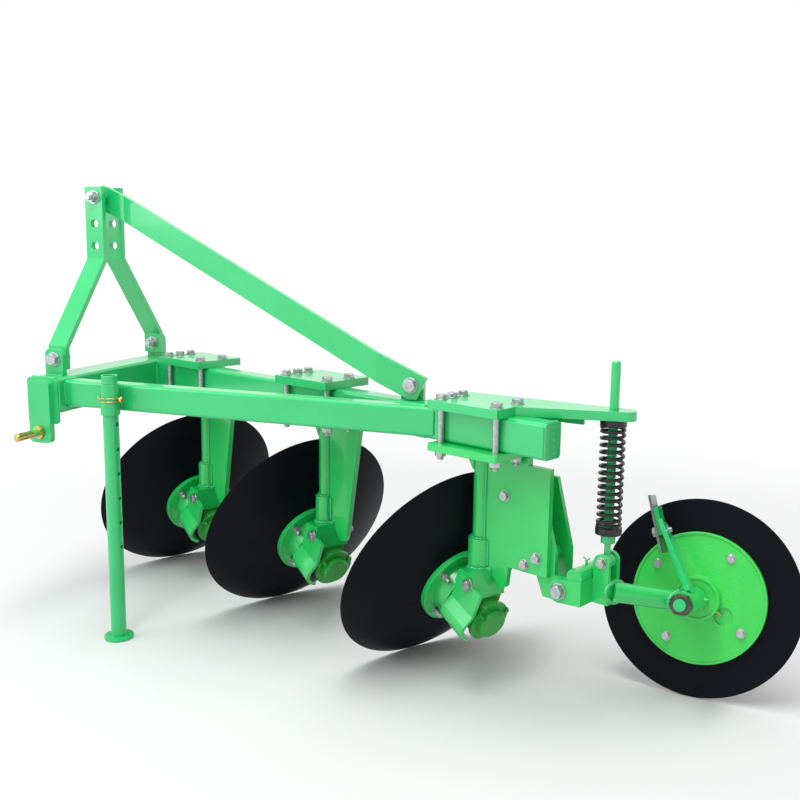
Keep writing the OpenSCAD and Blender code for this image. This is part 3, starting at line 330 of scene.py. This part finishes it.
# geometry nodes: named inputs, nodes with their settings and links
def newTree(name, inputs):
    tree = bpy.data.node_groups.new(name, "GeometryNodeTree")
    tree.interface.new_socket("Geometry", in_out="INPUT", socket_type="NodeSocketGeometry")
    for label, kind, value in inputs:
        sock = tree.interface.new_socket(label, in_out="INPUT", socket_type="NodeSocket" + kind)
        if value is not None:
            sock.default_value = value
    tree.interface.new_socket("Geometry", in_out="OUTPUT", socket_type="NodeSocketGeometry")
    return tree, tree.nodes.new("NodeGroupInput").outputs, tree.nodes.new("NodeGroupOutput").inputs


def put(tree, kind, settings=None, **links):      # a link named i0, i1 goes to the input of that number
    node = tree.nodes.new(kind)
    for key, value in (settings or {}).items():
        setattr(node, key, value)
    for key, value in links.items():
        key = int(key[1:]) if key[0] == "i" and key[1:].isdigit() else key.replace("_", " ")
        if isinstance(value, bpy.types.NodeSocket):
            tree.links.new(value, node.inputs[key])
        else:
            node.inputs[key].default_value = value
    return node


def gnMaths(tree, operation, a, b):
    return put(tree, "ShaderNodeMath", {"operation": operation}, i0=a, i1=b).outputs[0]


def named(tree, name, kind="FLOAT"):
    return put(tree, "GeometryNodeInputNamedAttribute", {"data_type": kind}, Name=name).outputs[0]


def closeTree(tree, shape, given, result):
    shape = put(tree, "GeometryNodeRealizeInstances", None, Geometry=shape).outputs[0]
    shape = put(tree, "GeometryNodeSetMaterial", None, Geometry=shape, Material=given["Finish"]).outputs[0]
    tree.links.new(shape, result[0])
    return tree


# a round bar along every edge path, with ripples along it and an uneven skin
barSkin = dict(scale=260.0, detail=2.0)


def rippleTree():
    tree, given, result = newTree("rippleBar", [
        ("Step", "Float", 0.002), ("Pitch", "Float", 0.006), ("Ripple", "Float", 0.1),
        ("Jitter", "Float", 0.0), ("Sides", "Int", 8), ("Finish", "Material", None)])
    path = put(tree, "GeometryNodeMeshToCurve", None, Mesh=given["Geometry"]).outputs[0]
    path = put(tree, "GeometryNodeResampleCurve", {"mode": "LENGTH"}, Curve=path,
               Length=given["Step"]).outputs[0]
    run = put(tree, "GeometryNodeSplineParameter").outputs["Length"]
    phase = gnMaths(tree, "MULTIPLY", gnMaths(tree, "DIVIDE", run, given["Pitch"]), math.tau)
    wave = gnMaths(tree, "MULTIPLY", gnMaths(tree, "SINE", phase, 0.0), given["Ripple"])
    radius = gnMaths(tree, "MULTIPLY", named(tree, "thick"), gnMaths(tree, "ADD", wave, 1.0))
    path = put(tree, "GeometryNodeSetCurveRadius", None, Curve=path, Radius=radius).outputs[0]
    ring = put(tree, "GeometryNodeCurvePrimitiveCircle", None, Resolution=given["Sides"], Radius=1.0)
    tube = put(tree, "GeometryNodeCurveToMesh", None, Curve=path, Profile_Curve=ring.outputs[0],
               Fill_Caps=True)
    if "Scale" in tube.inputs:
        tree.links.new(put(tree, "GeometryNodeInputRadius").outputs[0], tube.inputs["Scale"])
    cloud = put(tree, "ShaderNodeTexNoise", {"noise_dimensions": "3D"}, Scale=barSkin["scale"],
                Detail=barSkin["detail"])
    centred = put(tree, "ShaderNodeVectorMath", {"operation": "SUBTRACT"}, i0=cloud.outputs["Color"],
                  i1=(0.5, 0.5, 0.5))
    push = put(tree, "ShaderNodeVectorMath", {"operation": "SCALE"}, i0=centred.outputs[0],
               Scale=given["Jitter"])
    bar = put(tree, "GeometryNodeSetPosition", None, Geometry=tube.outputs[0], Offset=push.outputs[0])
    bar = put(tree, "GeometryNodeSetShadeSmooth", None, Geometry=bar.outputs[0])
    return closeTree(tree, bar.outputs[0], given, result)


# one part at every point, along its aim, at its size and spin
def fastenerTree():
    tree, given, result = newTree("fasteners", [("Part", "Object", None), ("Finish", "Material", None)])
    part = put(tree, "GeometryNodeObjectInfo", None, Object=given["Part"]).outputs["Geometry"]
    aim = named(tree, "aim", "FLOAT_VECTOR")
    stand = put(tree, "FunctionNodeAlignRotationToVector", {"axis": "Z"}, Vector=aim).outputs[0]
    twist = put(tree, "FunctionNodeAxisAngleToRotation", None, Axis=(0, 0, 1), Angle=named(tree, "spin"))
    pose = put(tree, "FunctionNodeRotateRotation", {"rotation_space": "LOCAL"}, i0=stand, i1=twist.outputs[0])
    many = put(tree, "GeometryNodeInstanceOnPoints", None, Points=given["Geometry"], Instance=part,
               Rotation=pose.outputs[0], Scale=named(tree, "size"))
    return closeTree(tree, many.outputs[0], given, result)


rippleBar, fasteners = rippleTree(), fastenerTree()


def link(name, mesh):
    obj = bpy.data.objects.new(name, mesh)
    bpy.context.scene.collection.objects.link(obj)
    return obj


def bake(name, mesh, tree, **inputs):             # run the tree on a mesh and keep the plain result
    obj = link(name + "Source", mesh)
    mod = obj.modifiers.new("nodes", "NODES")
    mod.node_group = tree
    for item in tree.interface.items_tree:
        if item.in_out == "INPUT" and item.name in inputs:
            mod[item.identifier] = inputs[item.name]
    bpy.context.view_layer.update()
    solid = bpy.data.meshes.new_from_object(obj.evaluated_get(bpy.context.evaluated_depsgraph_get()))
    bpy.data.objects.remove(obj)
    solid.name = name
    return solid


def pathMesh(name, paths):                        # paths: list of (points, thickness, closed)
    verts, edges, thick = [], [], []
    for points, wide, closed in paths:
        base = len(verts)
        verts += [tuple(q) for q in points]
        thick += [wide] * len(points)
        edges += [(base + k, base + k + 1) for k in range(len(points) - 1)]
        if closed:
            edges.append((base + len(points) - 1, base))
    mesh = bpy.data.meshes.new(name)
    mesh.from_pydata(verts, edges, [])
    mesh.attributes.new("thick", "FLOAT", "POINT").data.foreach_set("value", thick)
    return mesh


spins = dict(first=0.37, step=1.91)               # radians, so that no two heads line up


def spotMesh(name, spots):                        # spots: list of (place, aim, size)
    mesh = bpy.data.meshes.new(name)
    mesh.from_pydata([tuple(s[0]) for s in spots], [], [])
    aims = [c for s in spots for c in s[1]]
    mesh.attributes.new("aim", "FLOAT_VECTOR", "POINT").data.foreach_set("vector", aims)
    mesh.attributes.new("size", "FLOAT", "POINT").data.foreach_set("value", [s[2] for s in spots])
    angles = [spins["first"] + spins["step"] * k for k in range(len(spots))]
    mesh.attributes.new("spin", "FLOAT", "POINT").data.foreach_set("value", angles)
    return mesh


def joined(name, meshes):
    bm = bmesh.new()
    mats = []
    for mesh in meshes:
        slots = []
        for mat in mesh.materials:
            if mat not in mats:
                mats.append(mat)
            slots.append(mats.index(mat))
        start = len(bm.faces)
        bm.from_mesh(mesh)
        bm.faces.ensure_lookup_table()
        for face in bm.faces[start:]:
            face.material_index = slots[face.material_index] if slots else 0
    full = bpy.data.meshes.new(name)
    bm.to_mesh(full)
    bm.free()
    for mat in mats:
        full.materials.append(mat)
    return link(name, full)


def lathe(name, rings, steps=48):                 # rings: list of functions or pairs giving radius and height
    bm = bmesh.new()
    loops = []
    for ring in rings:
        loop = []
        for k in range(steps):
            a = math.tau * k / steps
            r, z = ring(a) if callable(ring) else ring
            loop.append(bm.verts.new((r * math.cos(a), r * math.sin(a), z)))
        loops.append(loop)
    for low, high in zip(loops, loops[1:]):
        for k in range(steps):
            n = (k + 1) % steps
            bm.faces.new((low[k], low[n], high[n], high[k]))
    bm.faces.new(loops[0][::-1])
    bm.faces.new(loops[-1])
    bmesh.ops.recalc_face_normals(bm, faces=bm.faces)
    mesh = bpy.data.meshes.new(name)
    bm.to_mesh(mesh)
    bm.free()
    return mesh


# heads, nuts and studs for a bolt of diameter 1, corners turned off at 30 degrees; the nipple is in mm
hexParts = dict(flats=1.5, head=0.65, nut=0.8, washer=1.02, washerT=0.14, stub=0.5, pitch=0.11, crown=0.95,
                chamfer=30, lip=0.01, topShare=0.28, topRise=0.005, bore=0.53, thread=0.5, core=0.455,
                endR=0.46, tipR=0.40, tip=0.06, studFlats=1.55, studNut=0.9, lockFlats=1.42, lockFrom=0.92,
                lockTo=1.55, studEnd=2.33, nippleFlats=10, nippleHex=5, rimRound=0.04, rimTop=0.03,
                rimIn=0.05,
                dome=[(0.98, 0), (1.0, 0.08), (0.9, 0.28), (0.66, 0.44), (0.3, 0.53), (0.05, 0.55)],
                nippleNeck=[(3.2, 5.2), (3.2, 8), (2.2, 9), (3.4, 11), (3.0, 13), (1.0, 14.2)])


def hexAt(a, flats):
    return flats / 2 / math.cos((a % (math.pi / 3)) - math.pi / 6)


def hexRings(s, flats, low, high):                # a six-sided band with turned-off corners on both faces
    crown, slope = flats / 2 * s["crown"], math.tan(math.radians(s["chamfer"]))

    def side(level, way):
        return lambda a: (hexAt(a, flats), level - way * max(0, hexAt(a, flats) - crown) * slope)

    return [(crown, low), side(low + s["lip"], -1), side(high, 1), (crown, high)]


def threadRings(s, low, high):
    rings = [(s["bore"], low), (s["thread"], low)]
    for k in range(int((high - low) / s["pitch"])):
        z = low + (k + 0.25) * s["pitch"]
        rings += [(s["thread"], z), (s["core"], z + 0.5 * s["pitch"])]
    return rings + [(s["endR"], high), (s["tipR"], high + s["tip"])]


def makeHexParts(s):
    base, wide = s["washerT"], s["washer"]
    rim = [(wide - s["rimRound"], 0), (wide, s["rimRound"]), (wide, base - s["rimTop"]),
           (wide - s["rimIn"], base)]
    headEnd, nutEnd, lockEnd = base + s["head"], base + s["nut"], base + s["lockTo"]
    head = rim + hexRings(s, s["flats"], base, headEnd)
    head.append((s["flats"] * s["topShare"], headEnd + s["topRise"]))
    nut = rim + hexRings(s, s["flats"], base, nutEnd) + threadRings(s, nutEnd, nutEnd + s["stub"])
    stud = rim + hexRings(s, s["studFlats"], base, base + s["studNut"])
    stud += hexRings(s, s["lockFlats"], base + s["lockFrom"], lockEnd) + threadRings(s, lockEnd, s["studEnd"])
    nipple = hexRings(s, s["nippleFlats"], 0, s["nippleHex"]) + s["nippleNeck"]
    shapes = dict(head=head, nut=nut, stud=stud, dome=s["dome"], nipple=nipple)
    return {k: link(k, lathe(k, rings)) for k, rings in shapes.items()}


hexPart = makeHexParts(hexParts)


def aimOf(place, way):
    return (place.to_3x3() @ Vector(way)).normalized()


def polar(r, degrees, z):
    return Vector((r * math.cos(math.radians(degrees)), r * math.sin(math.radians(degrees)), z))


def line(place, *points):
    return [place @ Vector(q) for q in points]


def own(piece, body, replaced=None):
    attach(piece, body)
    if replaced:
        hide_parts(replaced)


# bolts of the plough, in place of the plain ones of the frame
boltSets = dict(headReach=64, headFar=45, headUp=94, headBack=5, headBolt=16, clampOut=10, sink=0.5,
                mastX=50, mastZ=45, mastBolt=20, lugY=258, lugRise=47, lugGrip=32, topY=52, topRise=509,
                strutBack=1022, strutZ=80.5, strutT=16, strutIn=27, bracketNear=-88.5, bracketBolt=14,
                bracketGrip=94, bracket=[(-78, -110), (-141, -270), (-176, -246)], pivot=(-239, -92, -373),
                pivotGrip=115, eye=(-321, -143, -297), eyeGrip=50, wheelBolt=12,
                shank=dict(Step=0.0006, Pitch=0.0022, Ripple=0.03, Sides=20))
b = boltSets
strutEndY = -p["beamOffset"] + b["strutBack"] * sa / ca - b["strutIn"]


def makeBolts(name, body, node, bolts, headKind="head", nutKind="nut"):
    zinc = finish["zinc"]
    heads, nuts, shanks = [], [], []
    for place, start, way, d, grip in bolts:      # in the place's own millimetres; grip 0 is a screw
        a = place @ Vector(start)
        back = place @ (Vector(start) - Vector(way) * max(grip, 1))
        aim = aimOf(place, way)
        heads.append((a, aim, d / 1000))
        if grip:
            nuts.append((back, -aim, d / 1000))
            shanks.append(([a, back], d / 2000, False))
    meshes = [bake(name, spotMesh(name, heads), fasteners, Part=hexPart[headKind], Finish=zinc),
              bake(name, spotMesh(name, nuts), fasteners, Part=hexPart[nutKind], Finish=zinc),
              bake(name, pathMesh(name, shanks), rippleBar, Finish=zinc, **b["shank"])]
    own(joined(name, meshes), body, node)


def clampRows(i):                                 # four corner bolts, a set screw and the leg head's bolt
    at, top = clampAt(i), beamTop + p["plateT"]
    grip = p["plateT"] + p["beamH"] + p["underT"]
    rows = [(at, (x, y, top), (0, 0, 1), p["clampBolt"], grip) for x in (-p["clampBoltX"], p["clampBoltX"])
            for y in (b["clampOut"], -p["beamW"] - b["clampOut"])]
    rows.append((at, (p["clampBoltX"], -p["beamW"] / 2, top), (0, 0, 1), p["clampBolt"], 0))
    start = (-b["headReach"], b["headUp"], p["hubReach"] - b["headBack"])
    rows.append((discAt(i), start, (-1, 0, 0), b["headBolt"], b["headReach"] + b["headFar"]))
    return rows


def hubRows(i):                                   # from the dish's hollow side to the back of the flange
    r, dish = p["flangePcd"] / 2, p["dishR"]
    depth = dish - math.sqrt(dish ** 2 - p["discD"] ** 2 / 4)
    low = math.sqrt((dish - p["discT"]) ** 2 - (r + p["flangeBolt"]) ** 2) + depth - dish - b["sink"]
    starts = [polar(r, p["flangeSpin"] + 90 * k, low) for k in range(4)]
    return [(discAt(i), q, (0, 0, -1), p["flangeBolt"], depth + p["flangeT"] - low) for q in starts]


def mastRows():
    mid, d = -p["crossMid"], b["mastBolt"]
    rows = [(mm, (b["mastX"], mid + s * b["lugY"], b["mastZ"] + b["lugRise"]), (0, s, 0), d, b["lugGrip"])
            for s in (1, -1)]
    rows.append((mm, (b["mastX"], mid - b["topY"], b["mastZ"] + b["topRise"]), (0, -1, 0), d, 2 * b["topY"]))
    rows.append((mm, (-b["strutBack"], strutEndY + b["strutT"] / 2, b["strutZ"]), (0, 1, 0), d, b["lugGrip"]))
    return rows


def bracketRows():
    rows = [(webAt, (x, b["bracketNear"], underZ + z), (0, 1, 0), b["bracketBolt"], b["bracketGrip"])
            for x, z in b["bracket"]]
    rows.append((webAt, b["pivot"], (0, 1, 0), b["mastBolt"], b["pivotGrip"]))
    rows.append((webAt, b["eye"], (0, 1, 0), b["bracketBolt"], b["eyeGrip"]))
    return rows


def wheelRows():
    face = p["wheelT"] / 2 + p["hubPlateT"]
    starts = [polar(p["wheelPcd"] / 2, p["boltSpin"] + 90 * k, face) for k in range(4)]
    return [(wheelAt, q, (0, 0, 1), b["wheelBolt"], p["hubPlateT"] + p["wheelT"]) for q in starts]


for i in units:
    makeBolts(f"clampBolts{i}", "frame", f"clamp_bolts_{i}", clampRows(i))
    makeBolts(f"hubBolts{i}", f"disc_{i}", f"hub_bolts_{i}", hubRows(i), headKind="dome", nutKind="stud")
makeBolts("mastBolts", "frame", "mast_bolts", mastRows())
makeBolts("bracketBolts", "frame", "bracket_bolts", bracketRows())
makeBolts("wheelBolts", "rear_wheel", "wheel_bolts", wheelRows())

# what the frame leaves out: grease nipples, ring screws, scraper bolt, split pin and the lock pin's bail
fit = dict(ringFace=223.3, nippleR=48, nippleTurn=143, screwR=52, screwTurn=30, screwD=8, sink=0.5,
           sleeveAngle=12, sleeveZ=90, bossR=55, pocket=(65, -36), pocketZ=17, bladeAt=(-112, 172),
           bladeTurn=108, bladeX=-20, bladeZ=66, bladeD=14, padFace=-14, bladeFace=4,
           splitAt=(-277, -151, -313), splitRise=17, splitWide=9, splitR=1.7, standAt=(-175, 29.5, 0),
           bailR=29.3, bailZ=4.6, bailWire=1.5, bailFrom=178, bailSweep=170, bailSteps=28, noseOut=1.2,
           noseTip=(1.8, -2), noseShare=0.7, tailOut=6, tailShare=0.6, pinSides=32,
           pin=[(3.5, -41), (5, -38), (5, 27), (5.2, 29), (7.5, 31), (8.6, 34), (8.6, 37), (7.2, 40),
                (3.5, 42)],
           splitWire=dict(Step=0.001, Ripple=0.0, Sides=12), bailBar=dict(Step=0.0008, Ripple=0.0, Sides=10))


def fitted(name, part, looks, spots):             # spots: (place, start, way, size in mm)
    points = [(place @ Vector(start), aimOf(place, way), size / 1000) for place, start, way, size in spots]
    return bake(name, spotMesh(name, points), fasteners, Part=hexPart[part], Finish=finish[looks])


def splitPin(f):                                  # two legs side by side, bent apart at the top
    x, y, z = f["splitAt"]
    r, up, wide = f["splitR"], f["splitRise"], f["splitWide"]
    bend = [(r, 0), (r, 0.6), (r * 1.8, 0.8), (wide * 0.6, 0.9), (wide, 1)]
    legs = [[(x + k * out, y, z + up * share) for out, share in bend] for k in (-1, 1)]
    return pathMesh("splitPin", [(line(webAt, *leg), r / 1000, False) for leg in legs])


def makePaintedFittings(f):
    up, ring = (0, 0, 1), f["ringFace"]
    nipples = [(discAt(i), polar(f["nippleR"], f["nippleTurn"], ring - f["sink"]), up, 1) for i in units]
    screws = [(discAt(i), polar(f["screwR"], f["screwTurn"], ring), up, f["screwD"]) for i in units]
    out = polar(1, f["sleeveAngle"], 0)
    sleeve = [(wheelAt, polar(p["armSleeveD"] / 2 - f["sink"], f["sleeveAngle"], f["sleeveZ"]), out, 1)]
    return joined("paintedFittings", [
        # nipples and screws on the housings take the same painted shade
        fitted("nipples", "nipple", "shadedCastGreen", nipples), fitted("screws", "head", "shadedCastGreen", screws),
        fitted("sleeveNipple", "nipple", "legGreen", sleeve),
        bake("splitPin", splitPin(f), rippleBar, Finish=finish["legGreen"], **f["splitWire"])])


def makeHubNipple(f):                             # points from the boss into the hub plate's pocket
    away = Vector((*f["pocket"], 0)).normalized()
    start = away * f["bossR"] + Vector((0, 0, f["pocketZ"]))
    return joined("hubNipple", [fitted("hubNipple", "nipple", "brass", [(wheelAt, start, away, 1)])])


def makeScraperBolt(f):
    at = wheelAt @ shift(*f["bladeAt"], 0) @ turn("Z", f["bladeTurn"])
    nut = [(at, (f["bladeX"], f["padFace"], f["bladeZ"]), (0, -1, 0), f["bladeD"])]
    head = [(at, (f["bladeX"], f["bladeFace"], f["bladeZ"]), (0, 1, 0), f["bladeD"])]
    return joined("scraperBolt", [fitted("scraperBolt", "nut", "zinc", nut),
                                  fitted("scraperBolt", "head", "zinc", head)])


def makeLockPin(f):                               # pin across the stand's sleeve, wire bail round it
    at = mm @ shift(*f["standAt"])
    shank = lathe("lockPin", f["pin"], f["pinSides"])
    shank.transform(at @ turn("Y", -90))
    shank.materials.append(finish["gold"])
    r, z, n = f["bailR"], f["bailZ"], f["bailSteps"]
    upper = [polar(r, f["bailFrom"] - f["bailSweep"] * k / n, z) for k in range(n + 1)]
    lower = [Vector((q.x, q.y, -z)) for q in reversed(upper)]
    tipX, tipY = f["noseTip"]
    noseX, noseZ = r + f["noseOut"], z * f["noseShare"]
    nose = [Vector((noseX, 0, noseZ)), Vector((r + tipX, tipY, 0)), Vector((noseX, 0, -noseZ))]
    tail = [Vector((-r - f["tailOut"], 0, s * z * f["tailShare"])) for s in (-1, 1)]
    bail = pathMesh("bail", [(line(at, *(upper + nose + lower + tail)), f["bailWire"] / 1000, True)])
    wire = bake("bail", bail, rippleBar, Finish=finish["gold"], **f["bailBar"])
    return joined("lockPin", [shank, wire])


own(makePaintedFittings(fit), "frame")
own(makeHubNipple(fit), "rear_wheel")
own(makeScraperBolt(fit), "frame")
own(makeLockPin(fit), "frame", "lock_pin")
for obj in hexPart.values():
    bpy.data.objects.remove(obj)
print("bolts and fittings made")

# weld beads on the frame, in millimetres; the wide shares are of the plain bead's width
welds = dict(wide=4.0, proud=0.6, lift=1, corner=8, edge=9, ringSteps=40, pipeProud=1.2, topProud=1.5,
             topRise=0.8, topWide=1.2, foot=(62, 212), footWide=1.3, runIn=3, runOver=2, sleeveEnd=10,
             webEnd=4, gussetLow=58, gussetOut=50, toeRun=14, toeWide=1.4, armWide=1.3, standX=15.8,
             standZ=29, standY=0.8, meetY=0.4, endProud=0.2, lugIn=242, lugT=16, lugHalf=29, strutHalf=28,
             capIn=6, capWide=0.7, bar=dict(Step=0.0016, Pitch=0.0068, Ripple=0.16, Jitter=0.0018, Sides=8))
armTube = dict(rodBack=285, rodAcross=168, blockHalf=21, start=15, midZ=-368, radius=24, footAt=154,
               proud=0.8, reach=0.5, step=0.001)


def ringPath(place, r, z, start=0, sweep=360):
    n = welds["ringSteps"]
    return [place @ polar(r, start + sweep * k / n, z) for k in range(n)]


def bead(place, start, end, w):
    return (line(place, start, end), w, False)


def legWelds(i, s, w):
    at = pipeAt(i)
    pipeR, sleeveR, half = p["pipeD"] / 2, p["sleeveD"] / 2, p["webT"] / 2
    sleeveTop, foot, under = headTop + p["sleeveLen"], headTop + s["lift"], underZ - s["proud"]
    pipeX = math.sqrt(pipeR ** 2 - half ** 2) + s["lift"]
    sleeveX = math.sqrt(sleeveR ** 2 - half ** 2) + s["lift"]
    high, over, toe = underZ - s["runIn"], s["runOver"], w * s["toeWide"]
    paths = [(ringPath(at, pipeR + s["pipeProud"], underZ - s["lift"]), w, True),
             (ringPath(at, pipeR + s["topProud"], sleeveTop + s["topRise"]), w * s["topWide"], True),
             (ringPath(at, sleeveR + s["lift"], foot, *s["foot"]), w * s["footWide"], False)]
    for y in (-half - s["proud"], half + s["proud"]):
        paths += [bead(at, (-pipeX, y, high), (-pipeX, y, sleeveTop + over), w),
                  bead(at, (-sleeveX, y, sleeveTop - over), (-sleeveX, y, headTop + s["sleeveEnd"]), w),
                  bead(at, (-pipeR - over, y, under), (s["webEnd"] - p["webTop"], y, under), w),
                  bead(at, (pipeX, y, high), (pipeX, y, underZ - s["gussetLow"]), w),
                  bead(at, (pipeR + over, y, under), (s["gussetOut"], y, under), w),
                  bead(at, (-sleeveR - s["lift"], y, foot), (-sleeveR - s["toeRun"], y, foot), toe)]
    return paths


def armWelds(t, w):                               # arm tube on the clevis block and on the axle sleeve
    base = mm @ onBeam(clampAl(3) - t["rodBack"] - t["start"], -t["rodAcross"], t["midZ"])
    foot = wheelAt @ Vector((0, 0, t["footAt"]))
    way = (foot - base).normalized()
    side = way.cross(Vector((0, 0, 1))).normalized()
    over = side.cross(way)
    face = aimOf(beamAt, (1, 0, 0))
    plane = mm @ onBeam(clampAl(3) - t["rodBack"] - t["blockHalf"], 0)
    touch = (p["armSleeveD"] / 2 + t["proud"]) / 1000
    first, last = [], []
    for k in range(welds["ringSteps"]):
        a = math.tau * k / welds["ringSteps"]
        q = base + (side * math.cos(a) + over * math.sin(a)) * (t["radius"] + t["proud"]) / 1000
        first.append(q + way * ((plane - q).dot(face) / way.dot(face)))
        run = 0.0
        while run < t["reach"]:                   # walk along the tube until it meets the sleeve
            off = q + way * run - foot
            if (off - wheelOut * off.dot(wheelOut)).length < touch:
                break
            run += t["step"]
        last.append(q + way * run)
    return [(first, w, True), (last, w, True)]


def beamWelds(s, w):
    out, c, e, lift = -s["proud"], s["corner"], s["edge"], s["lift"]
    h, top, left = beamTop, p["leftH"] / 2, -p["leftW"]
    near, far = -p["beamOffset"], -p["beamOffset"] - p["beamW"] / ca

    def meet(y):                                  # where the left beam's line runs into the main beam
        return onBeam(-(y + p["beamOffset"]) / sa, 0).x

    paths = [bead(mm, (out, y, c - h), (out, y, h - c), w) for y in (near, far)]     # beams on the crossbeam
    paths += [bead(mm, (out, near - c, z), (out, far + c, z), w) for z in (-h, h)]
    paths += [bead(mm, (out, y, c - top), (out, y, top - c), w) for y in (0, left)]
    paths += [bead(mm, (out, -c, z), (out, c + left, z), w) for z in (-top, top)]
    inner = e + left
    paths += [bead(mm, (meet(-e) + lift, -e, z), (meet(inner) + lift, inner, z), w) for z in (-top, top)]
    for x, y in ((meet(0) + lift, s["meetY"]), (meet(left) - lift, left - s["meetY"])):
        paths.append(bead(mm, (x, y, c - top), (x, y, top - c), w))
    return paths


def hitchWelds(s, w):                             # end plates, mast lugs and the strut's lug
    c, e, tiny, proud = p["crossS"], s["edge"], s["endProud"], s["proud"]
    z = c / 2 - p["crossDrop"]
    paths = []
    for way in (-1, 1):
        y = -p["crossMid"] + way * (p["crossLen"] / 2 - proud)
        paths.append(bead(mm, (tiny, y, z - e), (tiny, y, z - c + e), w))
        paths += [bead(mm, (e, y, level), (c - e, y, level), w) for level in (z + tiny, z - c - tiny)]
        for off in (-proud, s["lugT"] + proud):
            y = -p["crossMid"] + way * (s["lugIn"] + off)
            ends = [(c / 2 + k * s["lugHalf"], y, z + proud) for k in (-1, 1)]
            paths.append(bead(mm, *ends, w))
    x, top = -b["strutBack"], beamTop + proud
    for off in (proud, -s["lugT"] - proud):
        y = strutEndY - b["strutT"] / 2 + off
        paths.append(bead(mm, (x - s["strutHalf"], y, top), (x + s["strutHalf"], y, top), w))
    return paths


def capWelds(s, w):                               # cap on the main beam's rear end
    end, h, c, e, far = s["capIn"] - p["beamLen"], beamTop, s["corner"], s["edge"], -p["beamW"]
    paths = [bead(beamAt, (end, -c, h), (end, c + far, h), w)]
    return paths + [bead(beamAt, (end, y, h - e), (end, y, e - h), w) for y in (0, far)]


def makeWelds(s):
    w = s["wide"] / 1000
    paths = [path for i in units for path in legWelds(i, s, w)]
    paths += armWelds(armTube, w * s["armWide"])
    for x in (-s["standX"], s["standX"]):         # stand's bracket on the left beam
        x += fit["standAt"][0]
        paths.append(bead(mm, (x, s["standY"], -s["standZ"]), (x, s["standY"], s["standZ"]), w))
    paths += beamWelds(s, w) + hitchWelds(s, w) + capWelds(s, w * s["capWide"])
    mesh = bake("weldBeads", pathMesh("weldBeads", paths), rippleBar, Finish=finish["green"], **s["bar"])
    return joined("weldBeads", [mesh])


beads = makeWelds(welds)
own(beads, "frame")
print("weld beads made:", len(beads.data.polygons), "faces")

# pale floor and soft light: a bright dome, dimmer high towards the rear, two large lamps and a wide sun
studio = dict(floorSize=60, floorNear=0.60, floorFar=0.93, nearTo=1.2, farFrom=5.0, mottle=1.5,
              mottleShare=0.02, floorRough=0.8, floorShine=0.2, dome=1.0, dim=0.36,
              dimWay=(-0.90, 0.42, -0.12), dimSpan=(-0.1, 0.9), horizon=(0.05, 0.35), aim=(0, 0, 0.5),
              skylight=0.9, skySpread=50,
              lamps=[((0.2, 1.4, 3.7), 85, (3.8, 0.8), (1.0, 1.0, 1.0)),
                     ((3.2, 2.4, 2.2), 40, (2.2, 2.2), (0.80, 1.0, 1.0))])


def makeFloor(s):
    m = Shade(bpy.data.materials.new("floor"))
    here = m.here()
    away = m.vectors("LENGTH", here, out=1)
    mottle = m.noise(here, s["mottle"]) * s["mottleShare"]
    tone = m.span(away, s["nearTo"], s["farFrom"]) + mottle      # evens out the lamps' pool of light
    colour = m.blend(tone, grey(s["floorNear"]), grey(s["floorFar"]))
    mesh = bpy.data.meshes.new("floor")
    h = s["floorSize"] / 2
    mesh.from_pydata([(-h, -h, 0), (h, -h, 0), (h, h, 0), (-h, h, 0)], [], [(0, 1, 2, 3)])
    mesh.materials.append(m.finish(Base_Color=colour, Roughness=s["floorRough"],
                                   Specular_IOR_Level=s["floorShine"]))
    link("floor", mesh)


def makeDome(s):
    w = Shade(bpy.data.worlds.new("studio"))
    way = w.add("ShaderNodeTexCoord")
    rear = w.vectors("DOT_PRODUCT", way, s["dimWay"], out=1)
    above = w.add("ShaderNodeSeparateXYZ", None, {"Vector": way}, out=2)
    shade = w.span(rear, *s["dimSpan"]) * w.span(above, *s["horizon"])     # bright along the whole horizon
    tone = w.blend(shade, grey(s["dome"]), grey(s["dim"]))
    w.add("ShaderNodeOutputWorld", None, {"Surface": w.add("ShaderNodeBackground", None, {"Color": tone})})
    bpy.context.scene.world = w.owner


def makeLamps(s):
    for k, (place, power, size, colour) in enumerate(s["lamps"]):
        lamp = bpy.data.lights.new(f"softbox{k}", "AREA")
        lamp.energy, lamp.shape, lamp.color = power, "RECTANGLE", colour
        lamp.size, lamp.size_y = size
        obj = link(f"softbox{k}", lamp)
        obj.location = place
        obj.rotation_euler = (Vector(s["aim"]) - Vector(place)).to_track_quat("-Z", "X").to_euler()
    sun = bpy.data.lights.new("skylight", "SUN")
    sun.energy, sun.angle = s["skylight"], math.radians(s["skySpread"])
    link("skylight", sun)


makeFloor(studio)
makeDome(studio)
makeLamps(studio)
bpy.context.scene.view_settings.view_transform = "Standard"
print("floor and lights set")
